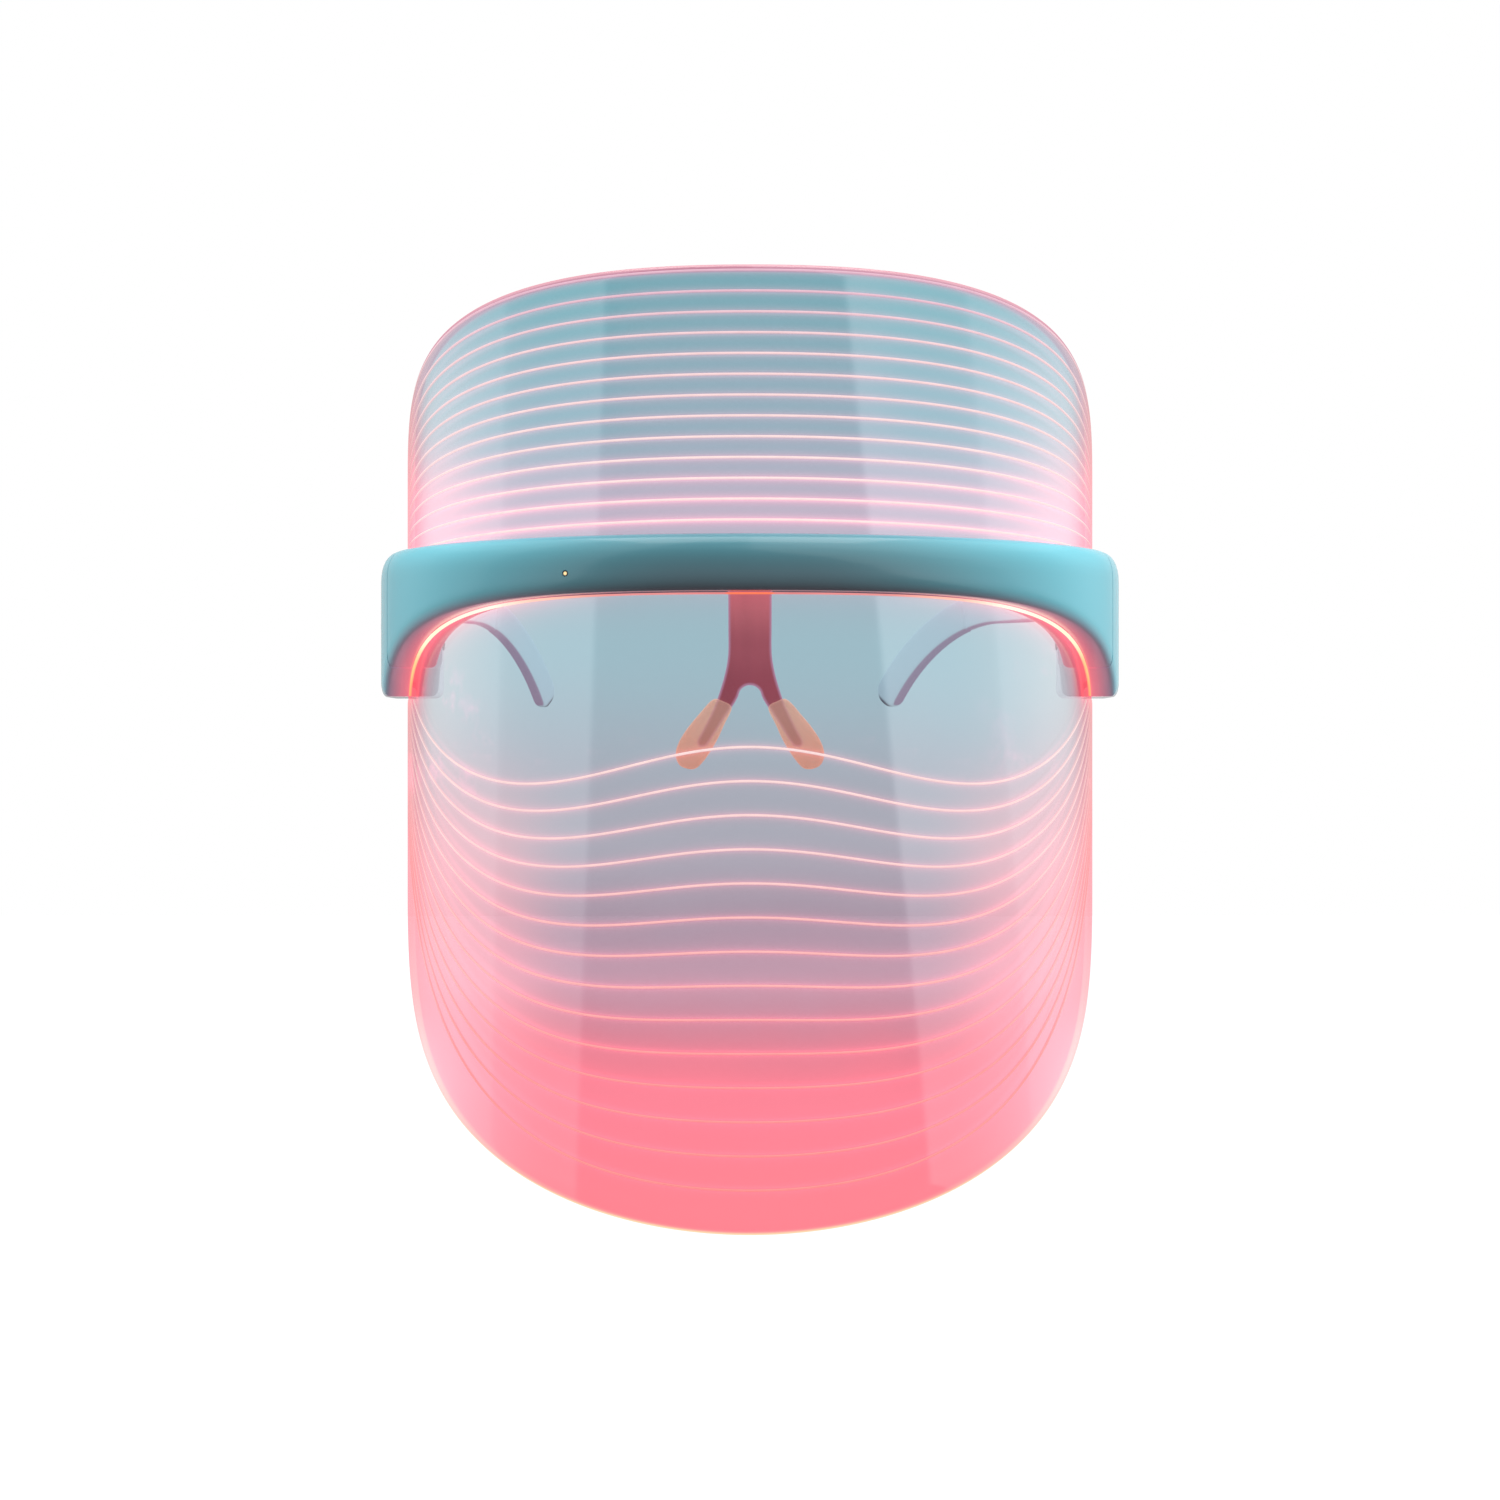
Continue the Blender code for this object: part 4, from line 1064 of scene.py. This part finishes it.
def make_inner_housing(label, side, surface):
    rounding = ((2.6, 2.4), (0.1, 0.1), (0.1, 0.1))
    hollow_rounding = ((0.8, 0.8), (0.1, 0.1), (0.1, 0.1))
    depths, hollow_depths = (-HOUSING_IN, -SEAM), (-HOUSING_IN + WALL, 1.0)
    name = f"inner_shell_{label}"
    shell = end_shell(name, side, depths, rounding, hollow_depths, hollow_rounding, (-SLOT_HALF, 1.0))
    hinge_z, hinge_n = HINGE[1], HINGE[2]
    depths = (hinge_n - EAR_HALF, hinge_n + EAR_HALF)
    for z0, z1 in EAR_HEIGHTS:
        cut(shell, side_box(side, EAR_RUN, (hinge_z + z0, hinge_z + z1), depths))
    for s, z in SCREW_PLACES:
        bore = cylinder((side * s, z, 0.0), SCREW_BORE, -THROUGH, 0.0, segments=24)
        seat = cylinder((side * s, z, 0.0), SCREW_SEAT, -THROUGH, -HOUSING_IN + SEAT_DEPTH, segments=40)
        cut(shell, bore, seat)
    finish_shell(shell, surface, f"inner_housing_{label}")


def make_edge_light():
    """The lit slit where the face shield enters the band."""
    glow = edge_light_material("edge_light")
    run = (END_CORNER - 0.02) * np.sin(np.linspace(-math.pi / 2, math.pi / 2, 361))
    path = np.column_stack([run, band_bottom(run)])
    step = directions(path)
    inside = np.column_stack([step[:, 1], -step[:, 0]])
    path = path + inside * 0.45
    thick = np.interp(np.abs(run), *zip(*EDGE_LIGHT_RADII))
    obj = loft("edge_light", tube(path, thick, 1.0))
    finish(smooth(place_on(obj, on_curve)), glow, "frame", None)


def make_slot_glow():
    """Glowing strips round the shield's hidden edge, behind it, in front of it and past its end: painted
    light that fills the slot with red where it lies in shade.
    """
    m = plastic("painted_slot_light", (0.30, 0.10, 0.12), roughness=0.6)
    glow = m.mix(m.noise(160.0, 2.0), (0.80, 0.17, 0.21), (0.90, 0.23, 0.26))
    m.set(Emission_Color=glow)
    near, far = HALF_THICK + 0.04, SLOT_HALF - 0.02
    end = HIDDEN_SPAN + 0.06
    strips = ((98.0, end, -far, -near), (104.6, end, near, far), (end + 0.02, end + 0.32, -far, far))
    for label, side in SIDES.items():
        groups = []
        for start, stop, first, last in strips:
            sections = []
            for s in np.linspace(start, stop, 40):
                low = float(band_bottom(s)) + 0.02
                high = low + GUIDE_TALL
                sections.append([(s, low, first), (s, high, first), (s, high, last), (s, low, last)])
            groups.append(sections)
        strip = mirrored(loft(f"slot_glow_{label}", *groups), side)
        finish(smooth(place_on(strip, on_curve)), m.material, "frame", None)


# ---- temple arms


def arm_place(label):
    """A function that takes flat (along, up, across) rows to the bent, bowed and folded arm."""
    side = SIDES[label]
    hinge = on_curve([(side * HINGE[0], HINGE[1], HINGE[2])])[0]
    turn = side * math.radians(REST_FOLD_DEG[label])

    def place(flat):
        along, up, across = np.asarray(flat, float).T
        angle = np.maximum(along - ARM_STRAIGHT, 0.0) / BEND_RADIUS
        bent = along > ARM_STRAIGHT
        r = np.where(bent, ARM_STRAIGHT + (BEND_RADIUS + up) * np.sin(angle), along)
        z = np.where(bent, (BEND_RADIUS + up) * np.cos(angle) - BEND_RADIUS, up)
        x = side * (across - ARM_BOW * (r / ARM_REACH) ** 2)
        turned = (x * math.cos(turn) - r * math.sin(turn), x * math.sin(turn) + r * math.cos(turn), z)
        return np.column_stack(turned) * MM + hinge

    return place


def oval(along, half_tall, half_thick, power, count=28):
    points = []
    for i in range(count):
        angle = 2 * math.pi * i / count
        c, s = math.cos(angle), math.sin(angle)
        up = math.copysign(abs(c) ** (2 / power), c) * half_tall
        across = math.copysign(abs(s) ** (2 / power), s) * half_thick
        points.append((along, up, across))
    return points


def make_arm(label, arm_surface, tip_surface):
    body = f"{label}_temple"
    place = arm_place(label)
    tall, thick = ARM_HALF
    sections = []
    for along in np.linspace(ARM_START, TIP_START, 40):
        half_tall = tall - ARM_TAPER * min((along - ARM_START) / ARM_STRAIGHT, 1.0)
        sections.append(oval(along, half_tall, thick, ARM_POWER))
    first = [oval(ARM_START, tall * k, thick * k, ARM_POWER) for k in (0.80, 0.93)]
    arm = loft(f"arm_shell_{label}", first + sections[1:])
    root = box((0.0, -KNUCKLE_HALF, -1.1), (4.4, KNUCKLE_HALF, 1.1))
    eye = cylinder((0, 0, 0), KNUCKLE_RADIUS, -KNUCKLE_HALF, KNUCKLE_HALF, "Y")
    tang = loft("tang", [oval(a, *TANG_HALF, 3.0) for a in np.linspace(TIP_START - 1.0, ARM_END - 3.0, 30)])
    combine(arm, "UNION", root, eye, tang)
    cut(arm, cylinder((0, 0, 0), PIN_BORE, -THROUGH, THROUGH, "Y"))
    finish(smooth(place_on(arm, place)), arm_surface, body, "arm_plastic", f"temple_arm_{label}")

    start = TIP_START + GAP
    tall, thick = TIP_HALF
    lip = [(start + TIP_LIP * (1 - math.cos(a)), math.sin(a)) for a in np.linspace(0.75, math.pi / 2, 5)]
    middle = [(a, 1.0) for a in np.linspace(start + TIP_LIP, ARM_END - tall, 30)[1:]]
    tail = [(ARM_END - tall + tall * math.sin(a), math.cos(a)) for a in np.linspace(0.0, 1.53, 10)[1:]]
    rings = [oval(a, tall * k, thick * max(k, 0.05) ** 0.7, TIP_POWER) for a, k in lip + middle + tail]
    tip = loft(f"tip_sleeve_{label}", rings)
    smooth(place_on(tip, place), 60.0)
    finish(tip, tip_surface, body, "tip_silicone", f"temple_tip_{label}")


def make_arms():
    hard = arm_material("arm_plastic", 0.3, 0.15, 0.1)
    soft = arm_material("tip_silicone", 0.55, 0.0, 0.25)
    for label in SIDES:
        make_arm(label, hard, soft)


# ---- nose rest


def lean_back(flat):
    """Carries flat (x, z, out) points onto the sloping line of the nose."""
    x, z, out = np.asarray(flat, float).T
    share = np.clip((NOSE_TOP - z) / NOSE_TOP, 0.0, 1.15)
    back = FRONT_Y + NOSE_SET_BACK + NOSE_LEAN * share**LEAN_POWER
    return np.column_stack([x, back - out, z]) * MM


def rounded_path(points, per_span=7):
    """A closed smooth curve through given points, as a Catmull-Rom spline."""
    points = np.asarray(points, float)
    count = len(points)
    made = []
    for i in range(count):
        p0, p1, p2, p3 = (points[(i + k) % count] for k in (-1, 0, 1, 2))
        for t in np.linspace(0.0, 1.0, per_span, endpoint=False):
            made.append(
                0.5 * ((2 * p1) + (p2 - p0) * t + (2 * p0 - 5 * p1 + 4 * p2 - p3) * t**2
                       + (3 * p1 - p0 - 3 * p2 + p3) * t**3)
            )
    return np.array(made)


BRACKET_HALF = (
    (5.1, BRACKET_TOP), (5.1, 36.0), (5.1, 29.0), (5.15, 23.0), (5.8, 18.8), (7.0, 14.6), (8.5, 10.6),
    (11.0, 5.6), (12.8, 2.2), (12.4, 0.9), (10.8, 0.9), (9.7, 2.2), (7.0, 6.4), (4.7, 9.8), (3.1, 12.4),
    (2.4, 14.2), (1.3, 15.2),
)
PAD_OUTLINE = (
    (8.9, 12.1), (12.5, 8.4), (15.7, 4.5), (17.7, 1.0), (18.1, -1.8), (16.9, -4.0), (13.9, -4.7),
    (11.6, -3.0), (8.5, 1.5), (6.2, 6.2), (4.4, 10.2), (6.3, 11.7),
)
PAD_SPINE = ((7.2, 9.0), (14.6, -0.6))


def slice_flat(obj, spacing):
    """Adds an edge at every step of height, so that a flat face can follow a curve."""
    bm = bmesh.new()
    bm.from_mesh(obj.data)
    heights = [v.co.y for v in bm.verts]
    for height in np.arange(min(heights) + spacing, max(heights), spacing):
        geometry = bm.verts[:] + bm.edges[:] + bm.faces[:]
        bmesh.ops.bisect_plane(bm, geom=geometry, dist=1e-4, plane_co=(0, height, 0), plane_no=(0, 1, 0))
    bm.to_mesh(obj.data)
    bm.free()


def make_bracket():
    half = list(BRACKET_HALF)
    outline = rounded_path(half + [(0.0, 15.5)] + [(-x, z) for x, z in reversed(half)], 6)
    outline[:, 1] = np.minimum(outline[:, 1], BRACKET_TOP)
    rounding = ((0.75, 0.9), (0.30, 0.9), (0.1, 0.8), (0.0, 0.55))
    levels = [(inset, -n) for inset, n in rounding] + list(reversed(rounding))
    tangent = np.roll(outline, -1, 0) - np.roll(outline, 1, 0)
    tangent /= np.linalg.norm(tangent, axis=1)[:, None]
    inward = np.column_stack([tangent[:, 1], -tangent[:, 0]])
    rings = [np.column_stack([outline + inward * inset, np.full(len(outline), n)]) for inset, n in levels]
    bracket = loft("bracket_plate", rings)
    slice_flat(bracket, 1.0)
    edge = path_distance(points_of(bracket.data), np.vstack([outline, outline[:1]]))
    red_lit = bracket_material("bracket_plastic")
    place_on(bracket, lean_back)
    store(bracket, "edge", edge)
    finish(smooth(bracket), red_lit, "frame", "bracket_plastic", "nose_bracket")


def make_nose_pads():
    """Soft sleeves on the fork's legs, each a rounded outline swelled about its spine."""
    silicone = pad_material("pad_silicone")
    start, end = (np.array(p) for p in PAD_SPINE)
    along = end - start
    rim = rounded_path(PAD_OUTLINE, 8)
    share = np.clip((rim - start) @ along / (along @ along), 0.0, 1.0)
    core = start + share[:, None] * along
    for label, side in SIDES.items():
        rings = []
        for angle in np.linspace(-math.pi / 2 + 0.03, math.pi / 2 - 0.03, 21):
            reach = math.cos(angle) ** (2 / PAD_POWER)
            height = math.copysign(abs(math.sin(angle)) ** (2 / PAD_POWER), angle) * PAD_HALF_THICK
            flat = core + (rim - core) * reach
            rings.append(np.column_stack([side * flat[:, 0], flat[:, 1], np.full(len(flat), height)]))
        pad = loft(f"nose_pad_soft_{label}", rings)
        smooth(place_on(pad, lean_back), 70.0)
        finish(pad, silicone, "frame", "pad_silicone", f"nose_pad_{label}")


# ---- CAD pieces that stay as they are


def dress_nodes():
    metal = steel("stainless")
    surfaces = {
        "hinge_block": metal,
        "hinge_pin": metal,
        "housing_screw": metal,
        "usb_socket": steel("socket_steel", (0.70, 0.69, 0.66), 0.25),
        "power_button": plastic("button_rubber", (0.52, 0.72, 0.78), roughness=0.55, depth=0.3).material,
        "button_dome": plastic("dome_silicone", (0.80, 0.80, 0.80), roughness=0.6).material,
        "battery_lead": plastic("lead_insulation", (0.72, 0.08, 0.06), roughness=0.4).material,
        "battery": plastic("battery_wrap", (0.05, 0.16, 0.36), roughness=0.3, coat=0.5).material,
        "control_board": board_material("circuit_board"),
        "led_strip": light_strip_material("led_strip"),
        "indicator_lens": indicator_material("indicator_amber"),
    }
    for name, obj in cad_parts.items():
        if obj.hide_render:
            continue
        kind = max((k for k in surfaces if name.startswith(k)), key=len)
        obj.data.materials.clear()
        obj.data.materials.append(surfaces[kind])


# ---- studio


def make_stage():
    square = ((-1, -1), (1, -1), (1, 1), (-1, 1))
    corners = [(x * FLOOR_HALF, y * FLOOR_HALF, FLOOR_HEIGHT) for x, y in square]
    floor = object_from("studio_floor", corners, [(0, 1, 2, 3)])
    m = Surface("pale_floor")
    m.set(
        Base_Color=m.mix(m.noise(1.5, 2.0), (0.25, 0.25, 0.25), (0.27, 0.27, 0.27)),
        Roughness=0.9,
        Specular_IOR_Level=0.0,
        Emission_Color=(0.72, 0.72, 0.72),
    )
    floor.data.materials.append(m.material)
    floor.visible_diffuse = False
    floor.visible_glossy = False


def make_world():
    """White to the camera. To the object, tall soft boxes at both sides, a bright top and a dim front."""
    world = bpy.data.worlds.new("studio")
    bpy.context.scene.world = world
    world.use_nodes = True
    m = Nodes(world.node_tree)
    direction = m.add("TexCoord").outputs["Generated"]
    x, y, z = m.add("SeparateXYZ", Vector=direction).outputs
    turn = m.math("ARCTAN2", m.math("ABSOLUTE", x), m.times(y, -1.0))
    side = m.math("SIGN", x)
    lean = m.times(z, m.linear(side, 0.42, 0.88))
    near_box = m.math("ADD", turn, m.math("ADD", lean, m.times(side, 0.05)))
    far_lean = m.times(z, m.linear(side, 0.65, 1.0))
    far_box = m.math("ADD", turn, m.math("SUBTRACT", far_lean, m.times(side, 0.015)))
    bright = m.linear(side, 0.14, 0.92)
    sides = m.linear(m.span(near_box, 0.71, 0.75), bright, 0.13)
    sides = m.math("ADD", sides, m.times(m.span(far_box, 1.37, 1.42), 0.45))
    behind = m.span(turn, 1.8, 2.5, 1.0, 0.5)
    top = m.times(m.span(z, 0.52, 0.60), 0.35)
    low = m.span(z, -0.75, 0.05, 0.2, 1.0)
    level = m.times(m.math("ADD", m.times(sides, behind), top), low)
    seen = m.add("LightPath").outputs["Is Camera Ray"]
    m.feed(m.tree.nodes["Background"].inputs["Color"], m.mix(seen, level, (1.0, 1.0, 1.0)))


def add_area(name, place, aim, size, energy):
    light = bpy.data.lights.new(name, "AREA")
    light.shape = "RECTANGLE"
    light.size, light.size_y = size
    light.energy = energy
    obj = new_object(name, light)
    obj.location = place
    obj.rotation_euler = (Vector(aim) - Vector(place)).to_track_quat("-Z", "Y").to_euler()


def make_camera():
    camera = new_object("camera", bpy.data.cameras.new("camera"))
    camera.data.lens = CAMERA_LENS
    camera.data.sensor_width = SENSOR_WIDTH
    camera.location = (0.0, -CAMERA_DISTANCE, 0.0)
    camera.rotation_euler = (math.pi / 2, 0.0, 0.0)
    bpy.context.scene.camera = camera


make_camera()
make_shields()
make_band()
make_edge_light()
make_slot_glow()
make_arms()
make_bracket()
make_nose_pads()
dress_nodes()
make_stage()
make_world()
add_area("top_box", (0.0, -0.2, 1.4), (0, 0, 0), (1.2, 1.2), 9.0)
bpy.context.scene.view_settings.view_transform = "Standard"
